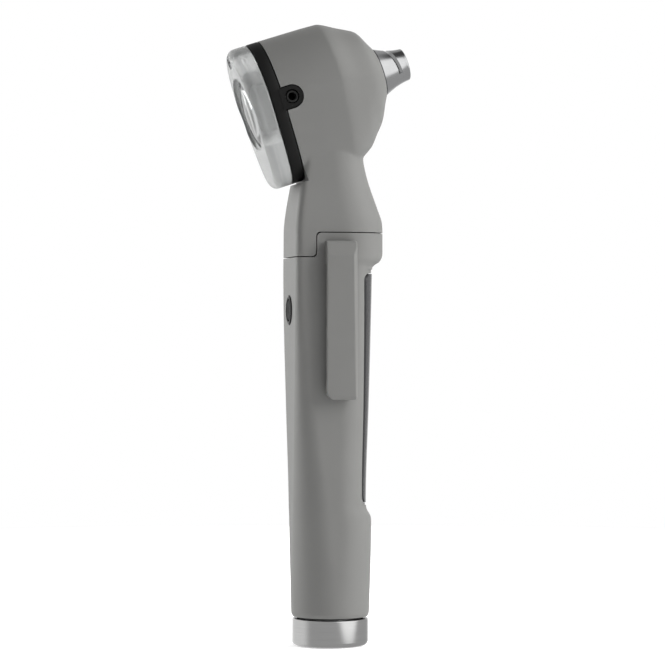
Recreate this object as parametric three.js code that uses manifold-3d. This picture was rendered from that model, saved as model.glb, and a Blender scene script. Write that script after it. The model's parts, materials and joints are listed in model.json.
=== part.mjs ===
// Pocket otoscope: battery handle, stepped neck, tilted viewing head, swing-out magnifier, nose cone.
// Millimetres. +Z runs up the handle, +X points to the nose side, -Y is the side with clip and port.
import * as THREE from 'three';
import { mergeVertices } from 'three/addons/utils/BufferGeometryUtils.js';
import Module from 'manifold-3d';

const wasm = await Module();
wasm.setup();

// ---------------------------------------------------------------- driving dimensions
const GAP = 0.3; // assembly clearance between neighbouring pieces

const CAP = { height: 8.2, radius: 11.6, edge: 1.4, floor: 2.4, spigotTop: 16.4, spigot: 9.2, bore: 8.0 };
const HANDLE = { bottom: 8.8, half: 12, back: -12.8, collar: 15.8, top: 127, bore: 8.6 };
const SEAM = { low: 118, high: 125.4, x: -6.5, round: 1.3 }; // stepped joint between neck and handle
const RECESS = { bottom: 42.4, ramp: 38.6, top: 115.2, lowFront: 10.5, highFront: 12.45 };
const INLAY = { bottom: 43.6, top: 113.0, lowHalf: 7.6, highHalf: 9.3, thickness: 0.9, corner: 2.2 };
const POCKET = { bottom: 42.6, top: 114.4, half: 10.85, depth: 0.3, corner: 2.6 }; // step round the insert
const CELL = { radius: 7.2, length: 50.5, nipple: 2.7, nippleHeight: 1.3, first: 12.6 };
const SLEEVE = { outer: 8.3, inner: 7.55, bottom: 17.4, top: 113.4 };
const INSERT = { outer: 10.5, inner: 9.5, bottom: 9.1, top: 17.0 };
const BUTTON = { z: 102, radius: 3.1, bezel: 4.3 };
const BOARD = { back: -9.7, thickness: 0.8, halfWidth: 6.2, bottom: 89, top: 114.4 };
const CLIP = { left: -4, right: 5.4, top: 122.8, bottom: 74.9, flex: 116.6, inner: -14.2, outer: -15.9 };
const CHASSIS = { bottom: 115.3, shoulder: 124.4, top: 137, back: -10.5, front: 9.6, halfWidth: 9.2 };

// The head is built along its own sight line: x' to the nose, z' up across it, zero at the nose seat.
const AXIS = { x: 14.9, z: 174.7, tilt: THREE.MathUtils.degToRad(18.3) };
const FACE = { top: 20.1, bottom: 24.2, halfWidth: 13, middle: 2, taper: 0.25, corner: 4.5 };
const BAND = { rear: -36.6, front: -33.1, aperture: 10.5 };
const DRUM = { rear: -32.8, wall: 1.9, cavityFront: -2.8, noseHole: 7.0 };
const TAB = { x: -30.3, z: 0.9, radius: 3.3, depth: 1.6, port: 1.85 };
const FRAME = { back: -36.9, depth: 6.3, shrink: 0.16, round: 2.6 };
const LENS = { radius: 11.1, edge: 1.5, rear: -39.9, bulge: 1.3, seat: 10.4 };
const PIVOT = { z: 16.6, shank: 0.9, head: 1.8 };
const NOSE = { base: 7.6, tip: 4.95, length: 9.0, shank: 6.7, shankRear: -5.4, tipBore: 4.35 };

const N = 28; // points round a lofted section
const SCREW_SPOTS = [[-8.4, -5.2], [-8.4, 5.2]];
const CLIP_SCREWS = { across: [-1.7, 3.1], z: 119.6 };
const LAMP = { x: 1.6, board: 141.1, boardThickness: 1.0 };

// ---------------------------------------------------------------- solids
function toSolid(geometry) {
  const bare = geometry.clone();
  bare.deleteAttribute('normal');
  bare.deleteAttribute('uv');
  const merged = mergeVertices(bare, 1e-5);
  const vertProperties = Float32Array.from(merged.attributes.position.array);
  const triVerts = Uint32Array.from(merged.index.array);
  return new wasm.Manifold(new wasm.Mesh({ numProp: 3, vertProperties, triVerts }));
}

function toGeometry(solid) {
  const mesh = solid.getMesh();
  const geometry = new THREE.BufferGeometry();
  geometry.setAttribute('position', new THREE.BufferAttribute(mesh.vertProperties, 3));
  geometry.setIndex(new THREE.BufferAttribute(mesh.triVerts, 1));
  return geometry;
}

const cut = (body, ...tools) => tools.reduce((solid, tool) => solid.subtract(tool), body);
const join = (body, ...extras) => extras.reduce((solid, extra) => solid.add(extra), body);

// Skin over a stack of closed sections that all have the same number of points, with flat ends.
function loft(sections) {
  const count = sections[0].length;
  const points = sections.flat();
  const index = [];
  for (let s = 0; s < sections.length - 1; s++) {
    for (let i = 0; i < count; i++) {
      const a = s * count + i;
      const b = s * count + ((i + 1) % count);
      index.push(a, b, b + count, a, b + count, a + count);
    }
  }
  const last = (sections.length - 1) * count;
  for (let i = 1; i < count - 1; i++) {
    index.push(0, i + 1, i);
    index.push(last, last + i, last + i + 1);
  }
  const geometry = new THREE.BufferGeometry().setFromPoints(points);
  geometry.setIndex(index);
  return geometry;
}

// Body of revolution about +Z from [radius, height] pairs listed from the bottom up, outside first.
function turned(profile, segments = 24) {
  const points = profile.map(([r, z]) => new THREE.Vector2(r, z));
  return new THREE.LatheGeometry(points, segments).rotateX(Math.PI / 2);
}

const tube = (outer, inner, low, high, segments = 24) =>
  turned([[inner, low], [outer, low], [outer, high], [inner, high], [inner, low]], segments);

const disc = (radius, low, high, segments = 24) =>
  turned([[0, low], [radius, low], [radius, high], [0, high]], segments);

// Flat outline extruded between two heights along +Z.
function slab(shape, low, high) {
  const options = { depth: high - low, bevelEnabled: false, curveSegments: 4 };
  return new THREE.ExtrudeGeometry(shape, options).translate(0, 0, low);
}

// Outline drawn in X and Z, extruded along Y; and one drawn in Y and Z, extruded along X.
const slabAlongY = (shape, low, high) => slab(shape, -high, -low).rotateX(Math.PI / 2);
const slabAlongX = (shape, low, high) => slab(shape, low, high).rotateX(Math.PI / 2).rotateZ(Math.PI / 2);

function box(x0, x1, y0, y1, z0, z1) {
  const geometry = new THREE.BoxGeometry(x1 - x0, y1 - y0, z1 - z0);
  return geometry.translate((x0 + x1) / 2, (y0 + y1) / 2, (z0 + z1) / 2);
}

function roundedRect(x0, x1, z0, z1, r) {
  const shape = new THREE.Shape();
  shape.moveTo(x0 + r, z0);
  shape.lineTo(x1 - r, z0);
  shape.absarc(x1 - r, z0 + r, r, -Math.PI / 2, 0);
  shape.lineTo(x1, z1 - r);
  shape.absarc(x1 - r, z1 - r, r, 0, Math.PI / 2);
  shape.lineTo(x0 + r, z1);
  shape.absarc(x0 + r, z1 - r, r, Math.PI / 2, Math.PI);
  shape.lineTo(x0, z0 + r);
  shape.absarc(x0 + r, z0 + r, r, Math.PI, Math.PI * 1.5);
  return shape;
}

const along = (geometry, axis) =>
  (axis === 'x' ? geometry.rotateY(Math.PI / 2) : geometry.rotateX(Math.PI / 2));

// Puts a piece made in the head's own directions into its place on the instrument.
const intoHead = (geometry) => geometry.rotateY(-AXIS.tilt).translate(AXIS.x, 0, AXIS.z);

// ---------------------------------------------------------------- sections of the grip and neck
// Four-cornered section: flat back and sides with small back corners, round front corners.
function gripSection(z, back, front, halfWidth, backRadius, frontRadius, inset = 0) {
  const rb = Math.max(backRadius - inset, 0.5);
  const rf = Math.max(frontRadius - inset, 0.5);
  const half = halfWidth - inset;
  const corners = [
    [front - inset - rf, half - rf, rf],
    [back + inset + rb, half - rb, rb],
    [back + inset + rb, rb - half, rb],
    [front - inset - rf, rf - half, rf],
  ];
  const steps = N / 4 - 1;
  return corners.flatMap(([cx, cy, r], quarter) =>
    Array.from({ length: steps + 1 }, (_, i) => {
      const angle = (quarter + i / steps) * (Math.PI / 2);
      return new THREE.Vector3(cx + r * Math.cos(angle), cy + r * Math.sin(angle), z);
    }));
}

// Handle from the round foot to the collar: [height, back, front, half width, back and front corner].
const GRIP = [
  [HANDLE.bottom, -11.4, 11.4, 11.4, 11.3, 11.3],
  [10.2, -11.9, 11.9, 11.9, 11.8, 11.8],
  [RECESS.ramp, -12.1, 12.45, HANDLE.half, 9.6, 11],
  [RECESS.bottom, -12.15, RECESS.lowFront, HANDLE.half, 9.2, 10],
  [75, -12.45, 11.45, HANDLE.half, 5.6, 9.8],
  [105, HANDLE.back, 12.2, HANDLE.half, 3.4, 9.6],
  [RECESS.top, HANDLE.back, RECESS.highFront, HANDLE.half, 3.2, 9.6],
  [116, HANDLE.back, 13.8, HANDLE.half, 3.2, 10],
  [117.4, HANDLE.back, 15.2, HANDLE.half, 3.2, 10],
  [119, HANDLE.back, HANDLE.collar, HANDLE.half, 3.2, 10],
  [HANDLE.top, HANDLE.back, HANDLE.collar, HANDLE.half, 3.2, 10],
];

// The same stations, run on past both ends so that an inset copy cuts right through.
const GRIP_OPEN = [
  [HANDLE.bottom - 1, ...GRIP[0].slice(1)],
  ...GRIP.slice(1, -1),
  [HANDLE.top + 1, ...GRIP.at(-1).slice(1)],
];

const grip = (inset, rows = GRIP) => loft(rows.map((row) => gripSection(...row, inset)));

// Neck from the collar up into the drum of the head, waisted at the front.
const NECK = [
  [SEAM.low, HANDLE.back, HANDLE.collar, HANDLE.half, 3.2, 10],
  [126.6, -12.75, HANDLE.collar, HANDLE.half, 3.2, 10],
  [128.8, -12.6, 15.6, 11.9, 3.2, 9.8],
  [132.8, -12.1, 14.2, 11.4, 3.2, 9.2],
  [138.6, -11.2, 12.1, 10.6, 3.2, 8.4],
  [143.8, -10.2, 10.5, 10, 3.2, 7.6],
  [147.8, -9.6, 9.75, 9.7, 3.2, 7.2],
  [153, -9, 9.6, 9.5, 3.2, 7],
];

// Region above the stepped joint, drawn in X and Z; shift moves the joint down or up for clearance.
function aboveSeam(shift) {
  const r = SEAM.round;
  const low = SEAM.low + shift;
  const high = SEAM.high + shift;
  const x = SEAM.x - shift;
  const shape = new THREE.Shape();
  shape.moveTo(-40, low);
  shape.lineTo(x - r, low);
  shape.absarc(x - r, low + r, r, -Math.PI / 2, 0);
  shape.lineTo(x, high - r);
  shape.absarc(x + r, high - r, r, Math.PI, Math.PI / 2, true);
  shape.lineTo(40, high);
  shape.lineTo(40, 260);
  shape.lineTo(-40, 260);
  return toSolid(slabAlongY(shape, -40, 40));
}

// ---------------------------------------------------------------- sections of the head
// Egg-shaped section across the sight line: domed top, sides that taper to a blunt, rounded foot.
function eggSection(x, top, bottom, halfWidth, roundness = 0, depthAt = () => x) {
  return Array.from({ length: N }, (_, i) => {
    const angle = (i / N) * Math.PI * 2;
    const c = Math.cos(angle);
    const s = Math.sin(angle);
    const power = s < 0 ? 2 / FACE.corner : 1;
    const rise = s < 0 ? bottom + FACE.middle : top - FACE.middle;
    const narrowing = s < 0 ? 1 - FACE.taper * Math.pow(-s, power) : 1;
    const egg = [
      halfWidth * narrowing * Math.sign(c) * Math.pow(Math.abs(c), power),
      FACE.middle + rise * Math.sign(s) * Math.pow(Math.abs(s), power),
    ];
    const y = THREE.MathUtils.lerp(egg[0], halfWidth * c, roundness);
    const z = THREE.MathUtils.lerp(egg[1], ((top + bottom) / 2) * s + (top - bottom) / 2, roundness);
    return new THREE.Vector3(depthAt(z), y, z);
  });
}

const faceSection = (x, inset = 0, depthAt = () => x) =>
  eggSection(x, FACE.top - inset, FACE.bottom - inset, FACE.halfWidth - inset, 0, depthAt);

// Drum of the head towards the nose: [distance, top, bottom, half width, roundness].
const DRUM_ROWS = [
  [DRUM.rear, FACE.top, FACE.bottom, FACE.halfWidth, 0],
  [-22, 20, 24.2, 13.1, 0],
  [-14, 19.3, 24, 13, 0.1],
  [-12, 18.5, 23.2, 12.9, 0.2],
  [-8.5, 16.8, 20.4, 12.4, 0.45],
  [-5.5, 15.3, 17.6, 11.5, 0.7],
  [-3.4, 14.1, 15.2, 10.6, 0.85],
  [-2.4, 12.6, 13.2, 9.9, 0.95],
  [-1.1, 9.8, 10, 8.9, 1],
  [0, 7.9, 7.9, 7.9, 1],
];

// The same stations, run on past the rear so that an inset copy cuts right through.
const reachedBack = (extra) => [[DRUM.rear - extra, ...DRUM_ROWS[0].slice(1)], ...DRUM_ROWS.slice(1)];
const DRUM_REACH = reachedBack(2);
const DRUM_OPEN = reachedBack(1);
const CAVITY_ROWS = [...[0, 2, 4, 5].map((i) => DRUM_OPEN[i]), [DRUM.cavityFront, 13, 14, 10.3, 0.95]];
const NECK_WALL = 2.1;

function drum(inset, rows = DRUM_ROWS) {
  return loft(rows.map(([x, top, bottom, half, round]) =>
    eggSection(x, top - inset, bottom - inset, half - inset, round)));
}

// ---------------------------------------------------------------- head pieces
const tabPrism = (extra) => {
  const outline = roundedRect(DRUM.rear - 3, TAB.x + TAB.radius + extra, TAB.z - TAB.radius - extra,
    TAB.z + TAB.radius + extra, TAB.radius + extra - 0.01);
  return toSolid(slabAlongY(outline, -20, -6));
};

const portHole = (radius, y0, y1) =>
  toSolid(along(disc(radius, -y1, -y0, 24), 'y').translate(TAB.x, 0, TAB.z));

function headShell() {
  const outer = toSolid(intoHead(drum(0)));
  const neck = toSolid(loft(NECK.map((row) => gripSection(...row))));
  const frameSpace = toSolid(intoHead(box(-70, DRUM.rear - 0.01, -30, 30, -FACE.bottom - 0.45, 60)));
  const drumCavity = toSolid(intoHead(drum(DRUM.wall, CAVITY_ROWS)));
  const neckRows = [0, 2, 3, 5, 7].map((i) => gripSection(...NECK[i], NECK_WALL));
  const neckCavity = toSolid(loft(neckRows).translate(0, 0, -0.5));
  const noseHole = toSolid(intoHead(along(disc(DRUM.noseHole, -8, 2), 'x')));
  const tabLayer = cut(toSolid(drum(-1, DRUM_OPEN)), toSolid(drum(TAB.depth + 0.4, DRUM_OPEN)));
  const tabSpace = toSolid(intoHead(toGeometry(tabPrism(GAP).intersect(tabLayer))));
  const port = toSolid(intoHead(toGeometry(portHole(TAB.port + GAP, -20, -8))));
  const shell = cut(join(outer, neck).intersect(aboveSeam(GAP / 2)), frameSpace, tabSpace, port);
  const hollow = cut(shell, drumCavity, neckCavity, noseHole);
  const screwHoles = SCREW_SPOTS.map(([x, y]) => toSolid(disc(1.4, 120, 130.4, 16).translate(x, y, 0)));
  return toGeometry(cut(join(hollow, ...SCREW_SPOTS.map(boss)), ...screwHoles));
}

const boss = ([x, y]) => toSolid(disc(2.3, 125.4, 132.5, 20).translate(x, y, 0))
  .intersect(toSolid(loft(NECK.map((row) => gripSection(...row, 1)))));

function bezelBand() {
  const ring = toSolid(loft([faceSection(BAND.rear), faceSection(BAND.front)]));
  const tabLayer = cut(toSolid(drum(-0.12, DRUM_OPEN)), toSolid(drum(TAB.depth, DRUM_REACH)));
  const tab = tabPrism(0).intersect(tabLayer);
  const aperture = toSolid(along(disc(BAND.aperture, -40, -30, 28), 'x'));
  const groove = toSolid(along(tube(12.3, 11.0, BAND.rear - 1, BAND.rear + 1.1, 28), 'x'));
  const pivotHole = toSolid(along(disc(PIVOT.shank + GAP, -40, -30, 16).translate(-PIVOT.z, 0, 0), 'x'));
  const body = cut(join(ring, tab), aperture, groove, pivotHole);
  return toGeometry(cut(body, portHole(TAB.port + GAP, -20, -8)));
}

const portBush = () =>
  along(tube(TAB.port, 1.2, 10.2, 12.9, 16), 'y').translate(TAB.x, 0, TAB.z);

const lensSeal = () => along(tube(12.0, 11.3, BAND.rear - 0.12, BAND.rear + 0.8, 24), 'x');

function lensFrame() {
  const front = FRAME.back - FRAME.depth;
  const slope = (depth) => (z) =>
    FRAME.back - depth * (1 - (FRAME.shrink * (FACE.top - z)) / (FACE.top + FACE.bottom));
  const rounded = [3, 2, 1, 0].map((i) => {
    const a = (i / 3) * (Math.PI / 2);
    const depth = FRAME.depth - FRAME.round * (1 - Math.sin(a));
    return faceSection(0, FRAME.round * (1 - Math.cos(a)), slope(depth));
  });
  const body = toSolid(loft([...rounded, faceSection(FRAME.back)]));
  const seat = toSolid(along(disc(LENS.radius + GAP, front - 5, LENS.rear + GAP, 28), 'x'));
  const sight = toSolid(along(disc(LENS.seat, front - 5, FRAME.back + 5, 28), 'x'));
  const hole = toSolid(along(disc(PIVOT.shank + GAP, front - 5, -30, 16).translate(-PIVOT.z, 0, 0), 'x'));
  const sinkhole = disc(PIVOT.head + GAP, front - 5, front + 1.9, 20).translate(-PIVOT.z, 0, 0);
  const sink = toSolid(along(sinkhole, 'x'));
  return toGeometry(cut(body, seat, sight, hole, sink));
}

// Biconvex lens: two shallow domes on a short cylindrical edge.
function magnifierLens() {
  const dome = (edge, sign) => Array.from({ length: 4 }, (_, i) => {
    const share = i / 3;
    const height = LENS.bulge * share * share * (3 - 2 * share);
    return [LENS.radius * Math.cos((share * Math.PI) / 2), edge + sign * height];
  });
  const points = [...dome(-LENS.edge, -1).reverse(), ...dome(0, 1)];
  return along(turned(points, 28), 'x').translate(LENS.rear, 0, 0);
}

function pivotScrew() {
  const front = FRAME.back - FRAME.depth;
  const profile = [[0, front + 0.3], [PIVOT.head, front + 0.3], [PIVOT.head, front + 1.5],
    [PIVOT.shank, front + 1.5], [PIVOT.shank, BAND.front - 0.3], [0, BAND.front - 0.3]];
  return along(turned(profile, 20).translate(-PIVOT.z, 0, 0), 'x');
}

// Radius of the nose cone at a distance from its seat: a concave flare down to the tip.
const noseRadius = (x) => NOSE.tip + (NOSE.base - NOSE.tip) * Math.pow(1 - x / NOSE.length, 1.7);

// One bayonet groove: a short helix over the side of the cone that climbs towards the tip.
function bayonetGroove(turn) {
  const points = Array.from({ length: 13 }, (_, i) => {
    const share = i / 12;
    const angle = turn + Math.PI * (0.56 - 0.7 * share);
    const x = 4.0 + 1.8 * share * share * (3 - 2 * share);
    const r = noseRadius(x) + 0.12;
    return new THREE.Vector3(x, -r * Math.cos(angle), r * Math.sin(angle));
  });
  const path = new THREE.CatmullRomCurve3(points);
  const section = roundedRect(-0.4, 0.4, -0.4, 0.4, 0.2);
  const sweep = { steps: 12, bevelEnabled: false, extrudePath: path, curveSegments: 1 };
  return toSolid(new THREE.ExtrudeGeometry(section, sweep));
}

function noseCone() {
  const flare = Array.from({ length: 6 }, (_, i) => {
    const x = GAP + (i / 5) * (NOSE.length - GAP - 0.2);
    return [noseRadius(x), x];
  });
  const shank = [[NOSE.shank, NOSE.shankRear], [NOSE.shank, GAP]];
  const outside = [...shank, ...flare, [NOSE.tip - 0.25, NOSE.length]];
  const inside = [[NOSE.tipBore, NOSE.length], [5.9, 0.5], [5.9, NOSE.shankRear]];
  const profile = [...outside, ...inside, outside[0]];
  const body = toSolid(along(turned(profile, 28), 'x'));
  return toGeometry(cut(body, bayonetGroove(0), bayonetGroove(Math.PI)));
}

const noseNut = () => {
  const ring = toSolid(along(tube(8.3, NOSE.shank + GAP, -5.3, -3.2, 24), 'x'));
  const slot = (angle) => toSolid(box(-6, -4.4, -0.6, 0.6, 6, 10).rotateX(angle));
  return toGeometry(cut(ring, ...[0, 1, 2, 3].map((i) => slot((i * Math.PI) / 2))));
};

const viewingFunnel = () => {
  const profile = [[5.5, -9.8], [9.4, -31.8], [9.8, -32.6], [8.8, -32.6], [8.4, -31.6],
    [4.6, -9.8], [5.5, -9.8]];
  return along(turned(profile.reverse(), 28), 'x');
};

// Clear ring inside the nose with a bent pipe that brings the light up from the lamp.
function lightGuide() {
  const outer = [[5.4, -9.4], [5.4, 0.6], [NOSE.tipBore - GAP, NOSE.length - 0.1]];
  const inner = [[NOSE.tipBore - GAP - 0.6, NOSE.length - 0.1], [4.7, 0.4], [4.7, -9.4]];
  const ring = toSolid(intoHead(along(turned([...outer, ...inner, outer[0]], 24), 'x')));
  const route = [[LAMP.x, 145.8], [2.8, 149], [6.2, 156], [8.3, 161.5], [9.2, 167.4]];
  const path = new THREE.CatmullRomCurve3(route.map(([x, z]) => new THREE.Vector3(x, 0, z)));
  const circle = new THREE.Shape().absarc(0, 0, 1.5, 0, Math.PI * 2);
  const sweep = { steps: 8, bevelEnabled: false, extrudePath: path, curveSegments: 3 };
  const pipe = toSolid(new THREE.ExtrudeGeometry(circle, sweep));
  const sight = toSolid(intoHead(along(disc(4.7, -14, 0, 24), 'x')));
  return toGeometry(cut(join(ring, pipe), sight));
}

// ---------------------------------------------------------------- lamp and chassis in the neck
const ledHolder = () => turned([[0, 137.3], [5, 137.3], [5, 139.6], [4.2, 140.8], [0, 140.8]], 24)
  .translate(LAMP.x, 0, 0);

const ledBoard = () => disc(4.3, LAMP.board, LAMP.board + LAMP.boardThickness, 24).translate(LAMP.x, 0, 0);

function ledEmitter() {
  const base = LAMP.board + LAMP.boardThickness + GAP;
  const dome = Array.from({ length: 4 }, (_, i) => {
    const a = (i / 3) * (Math.PI / 2);
    return [1.5 * Math.cos(a), base + 1 + 1.5 * Math.sin(a)];
  });
  return turned([[0, base], [1.9, base], [1.9, base + 0.9], [1.5, base + 0.9], ...dome], 16)
    .translate(LAMP.x, 0, 0);
}

function neckChassis() {
  const outline = roundedRect(CHASSIS.back, CHASSIS.front, -CHASSIS.halfWidth, CHASSIS.halfWidth, 3.6);
  const plug = toSolid(slab(outline, CHASSIS.bottom, CHASSIS.shoulder));
  const post = toSolid(slab(roundedRect(-5, 7.4, -6, 6, 2.4), CHASSIS.shoulder - 1, CHASSIS.top));
  const window = toSolid(slab(roundedRect(-2.4, 5, -3.6, 3.6, 1.2), CHASSIS.bottom + 3, CHASSIS.top + 1));
  const wireway = toSolid(box(-12, -6.8, -3, 3, CHASSIS.bottom - 1, CHASSIS.shoulder + 1));
  const holes = SCREW_SPOTS.flatMap(([x, y]) => [
    toSolid(disc(1.4, 110, 130, 16).translate(x, y, 0)),
    toSolid(disc(2.2, 110, 117.6, 16).translate(x, y, 0)),
  ]);
  return toGeometry(cut(join(plug, post), window, wireway, ...holes));
}

const chassisScrew = ([x, y]) => {
  const profile = [[0, 115.6], [1.9, 115.6], [1.9, 117.3], [1.1, 117.3], [1.1, 130], [0, 130]];
  return turned(profile, 16).translate(x, y, 0);
};

function lead(y) {
  const route = [[-9.3, 114.8], [-9.2, 118], [-8.6, 124], [-6.8, 130], [-6.2, 136], [-5, 141.6],
    [-2.9, 143.2]];
  const path = new THREE.CatmullRomCurve3(route.map(([x, z]) => new THREE.Vector3(x, y, z)));
  const circle = new THREE.Shape().absarc(0, 0, 0.5, 0, Math.PI * 2);
  const sweep = { steps: 10, bevelEnabled: false, extrudePath: path, curveSegments: 3 };
  return new THREE.ExtrudeGeometry(circle, sweep);
}

// ---------------------------------------------------------------- handle pieces
const inlayOutline = (extra) => {
  const { bottom, top, lowHalf, highHalf, corner: r } = INLAY;
  const low = bottom - extra;
  const high = top + extra;
  const half = (z) => THREE.MathUtils.mapLinear(z, bottom, top, lowHalf, highHalf) + extra;
  const shape = new THREE.Shape();
  shape.moveTo(-half(low) + r, low);
  shape.lineTo(half(low) - r, low);
  shape.quadraticCurveTo(half(low), low, half(low + r), low + r);
  shape.lineTo(half(high - r), high - r);
  shape.quadraticCurveTo(half(high), high, half(high) - r, high);
  shape.lineTo(-half(high) + r, high);
  shape.quadraticCurveTo(-half(high), high, -half(high - r), high - r);
  shape.lineTo(-half(low + r), low + r);
  shape.quadraticCurveTo(-half(low), low, -half(low) + r, low);
  return toSolid(slabAlongX(shape, 2, 40));
};

const inlaySpace = (extra) => cut(inlayOutline(extra), toSolid(grip(INLAY.thickness + extra, GRIP_OPEN)));

// Shallow step in the grip all round the insert.
const pocketSpace = () => {
  const { bottom, top, half, depth, corner } = POCKET;
  const outline = toSolid(slabAlongX(roundedRect(-half, half, bottom, top, corner), 2, 40));
  return cut(outline, toSolid(grip(depth, GRIP_OPEN)));
};

const frontInlay = () => toGeometry(inlaySpace(0).intersect(toSolid(grip(0))));

function handleShell() {
  const outer = cut(toSolid(grip(0)), aboveSeam(-GAP / 2));
  const bore = toSolid(disc(HANDLE.bore, 0, CHASSIS.bottom + 1));
  const foot = toSolid(disc(INSERT.outer + GAP, 0, INSERT.top + GAP));
  const socket = toSolid(slab(roundedRect(CHASSIS.back - GAP, CHASSIS.front + GAP, -CHASSIS.halfWidth - GAP,
    CHASSIS.halfWidth + GAP, 3.8), CHASSIS.bottom - GAP, 140));
  const electronics = toSolid(box(-11.5, -6, -6.6, 6.6, BOARD.bottom - 1, CHASSIS.bottom + 1));
  const buttonHole = toSolid(along(disc(BUTTON.radius + 0.6, -14, -8, 28), 'x').translate(0, 0, BUTTON.z));
  const bezelSeat = toSolid(along(disc(BUTTON.bezel + GAP, -14, -12.0, 28), 'x').translate(0, 0, BUTTON.z));
  const clipHoles = CLIP_SCREWS.across.flatMap((x) => [
    toSolid(along(disc(1.2, 8, 14, 16), 'y').translate(x, 0, CLIP_SCREWS.z)),
    toSolid(along(disc(2.1, 8, 10.9, 16), 'y').translate(x, 0, CLIP_SCREWS.z)),
  ]);
  const hollow = cut(outer, bore, foot, socket, electronics);
  return toGeometry(cut(hollow, buttonHole, bezelSeat, pocketSpace(), inlaySpace(GAP), ...clipHoles));
}

// Side view of the clip in Y and Z: a root block that leans in at the top, then the long blade.
function clipProfile() {
  const shape = new THREE.Shape();
  shape.moveTo(-12.3, CLIP.flex - 0.4);
  shape.lineTo(-12.3, CLIP.top - 0.6);
  shape.quadraticCurveTo(-12.3, CLIP.top, -12.9, CLIP.top);
  shape.lineTo(-14.2, CLIP.top);
  shape.quadraticCurveTo(-14.9, CLIP.top - 0.1, -15.1, CLIP.top - 0.8);
  shape.lineTo(CLIP.outer, 118.8);
  shape.lineTo(CLIP.outer + 0.5, CLIP.bottom + 1.2);
  shape.quadraticCurveTo(CLIP.outer + 0.6, CLIP.bottom, CLIP.outer + 1.4, CLIP.bottom);
  shape.quadraticCurveTo(-13.2, CLIP.bottom + 0.4, -12.7, CLIP.bottom + 2.4);
  shape.quadraticCurveTo(-12.7, CLIP.bottom + 4, -13.9, CLIP.bottom + 7);
  shape.lineTo(CLIP.inner, CLIP.flex - 2.4);
  shape.quadraticCurveTo(CLIP.inner, CLIP.flex - 0.8, -13.1, CLIP.flex - 0.5);
  return shape;
}

// Front view of the clip in X and Z, with one large rounded corner at the foot.
function clipOutline() {
  const { left, right, top, bottom } = CLIP;
  const shape = new THREE.Shape();
  shape.moveTo(left, top);
  shape.lineTo(left, bottom + 2.6);
  shape.quadraticCurveTo(left + 0.3, bottom + 0.4, left + 2.9, bottom);
  shape.lineTo(right - 0.8, bottom);
  shape.quadraticCurveTo(right, bottom, right, bottom + 0.8);
  shape.lineTo(right, top - 0.5);
  shape.quadraticCurveTo(right, top, right - 0.5, top);
  return shape;
}

function clipPart(low, high) {
  const body = toSolid(slabAlongX(clipProfile(), CLIP.left - 1, CLIP.right + 1))
    .intersect(toSolid(slabAlongY(clipOutline(), -20, -10)))
    .intersect(toSolid(box(-20, 20, -30, 0, low, high)));
  const hole = (x) => toSolid(along(disc(1.2, 10, 14.2, 16), 'y').translate(x, 0, CLIP_SCREWS.z));
  return toGeometry(cut(body, ...CLIP_SCREWS.across.map(hole)));
}

const clipScrew = (x) => {
  const profile = [[0, 9.8], [1.8, 9.8], [1.8, 10.6], [0.9, 10.6], [0.9, 13.9], [0, 13.9]];
  return along(turned(profile, 16), 'y').translate(x, 0, CLIP_SCREWS.z);
};

function powerButton() {
  const dish = [[0, -12.75], [1.8, -12.8], [2.7, -12.95], [BUTTON.radius, -12.75]];
  const back = [[BUTTON.radius, -12.35], [1.3, -12.35], [1.3, -11.75], [0, -11.75]];
  return along(turned([...dish, ...back], 22), 'x').translate(0, 0, BUTTON.z);
}

const buttonBezel = () => {
  const inner = BUTTON.radius + GAP;
  const crest = [[inner + 0.25, -13.0], [BUTTON.bezel - 0.2, -13.0]];
  const rim = [[BUTTON.bezel, -12.8], [BUTTON.bezel, -12.3]];
  const profile = [[inner, -12.7], ...crest, ...rim, [inner, -12.3], [inner, -12.7]];
  return along(turned(profile, 22), 'x').translate(0, 0, BUTTON.z);
};

function tactSwitch() {
  const body = toSolid(box(-11.05, -10.0, -2.25, 2.25, BUTTON.z - 2.25, BUTTON.z + 2.25));
  return toGeometry(cut(body, toSolid(along(disc(1.25, -12, -10.2, 20), 'x').translate(0, 0, BUTTON.z))));
}

const switchPlunger = () => along(disc(0.95, -11.45, -10.75, 20), 'x').translate(0, 0, BUTTON.z);

function controlBoard() {
  const outline = roundedRect(-BOARD.halfWidth, BOARD.halfWidth, BOARD.bottom, BOARD.top, 1);
  return slabAlongX(outline, BOARD.back, BOARD.back + BOARD.thickness);
}

const batterySleeve = () => {
  const body = toSolid(tube(SLEEVE.outer, SLEEVE.inner, SLEEVE.bottom, SLEEVE.top));
  const slot = toSolid(box(-1.6, 1.6, 4, 10, SLEEVE.bottom + 12, SLEEVE.top - 12));
  return toGeometry(cut(body, slot));
};

function batteryCell() {
  const shoulder = CELL.length - CELL.nippleHeight;
  const can = [[0, 0], [CELL.radius - 0.5, 0], [CELL.radius, 0.5], [CELL.radius, shoulder - 0.6]];
  const nipple = [[CELL.nipple, shoulder], [CELL.nipple, CELL.length], [0, CELL.length]];
  return turned([...can, [CELL.radius - 0.6, shoulder], ...nipple], 20);
}

const topContact = () => {
  const dome = [[0, 114.25], [1.6, 114.25], [2.4, 114.5], [6.4, 114.5]];
  return turned([...dome, [6.4, 115.0], [0, 115.0]], 20);
};

// Conical compression spring, closed up under the lower cell.
function batterySpring() {
  const turns = 5;
  const steps = turns * 10;
  const points = Array.from({ length: steps + 1 }, (_, i) => {
    const share = i / steps;
    const angle = share * turns * Math.PI * 2;
    const radius = THREE.MathUtils.lerp(6.4, 3.6, share);
    return new THREE.Vector3(radius * Math.cos(angle), radius * Math.sin(angle), 3.75 + share * 8.1);
  });
  const wire = new THREE.Shape().absarc(0, 0, 0.4, 0, Math.PI * 2);
  const path = new THREE.CatmullRomCurve3(points);
  const sweep = { steps, bevelEnabled: false, extrudePath: path, curveSegments: 2 };
  return new THREE.ExtrudeGeometry(wire, sweep);
}

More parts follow.
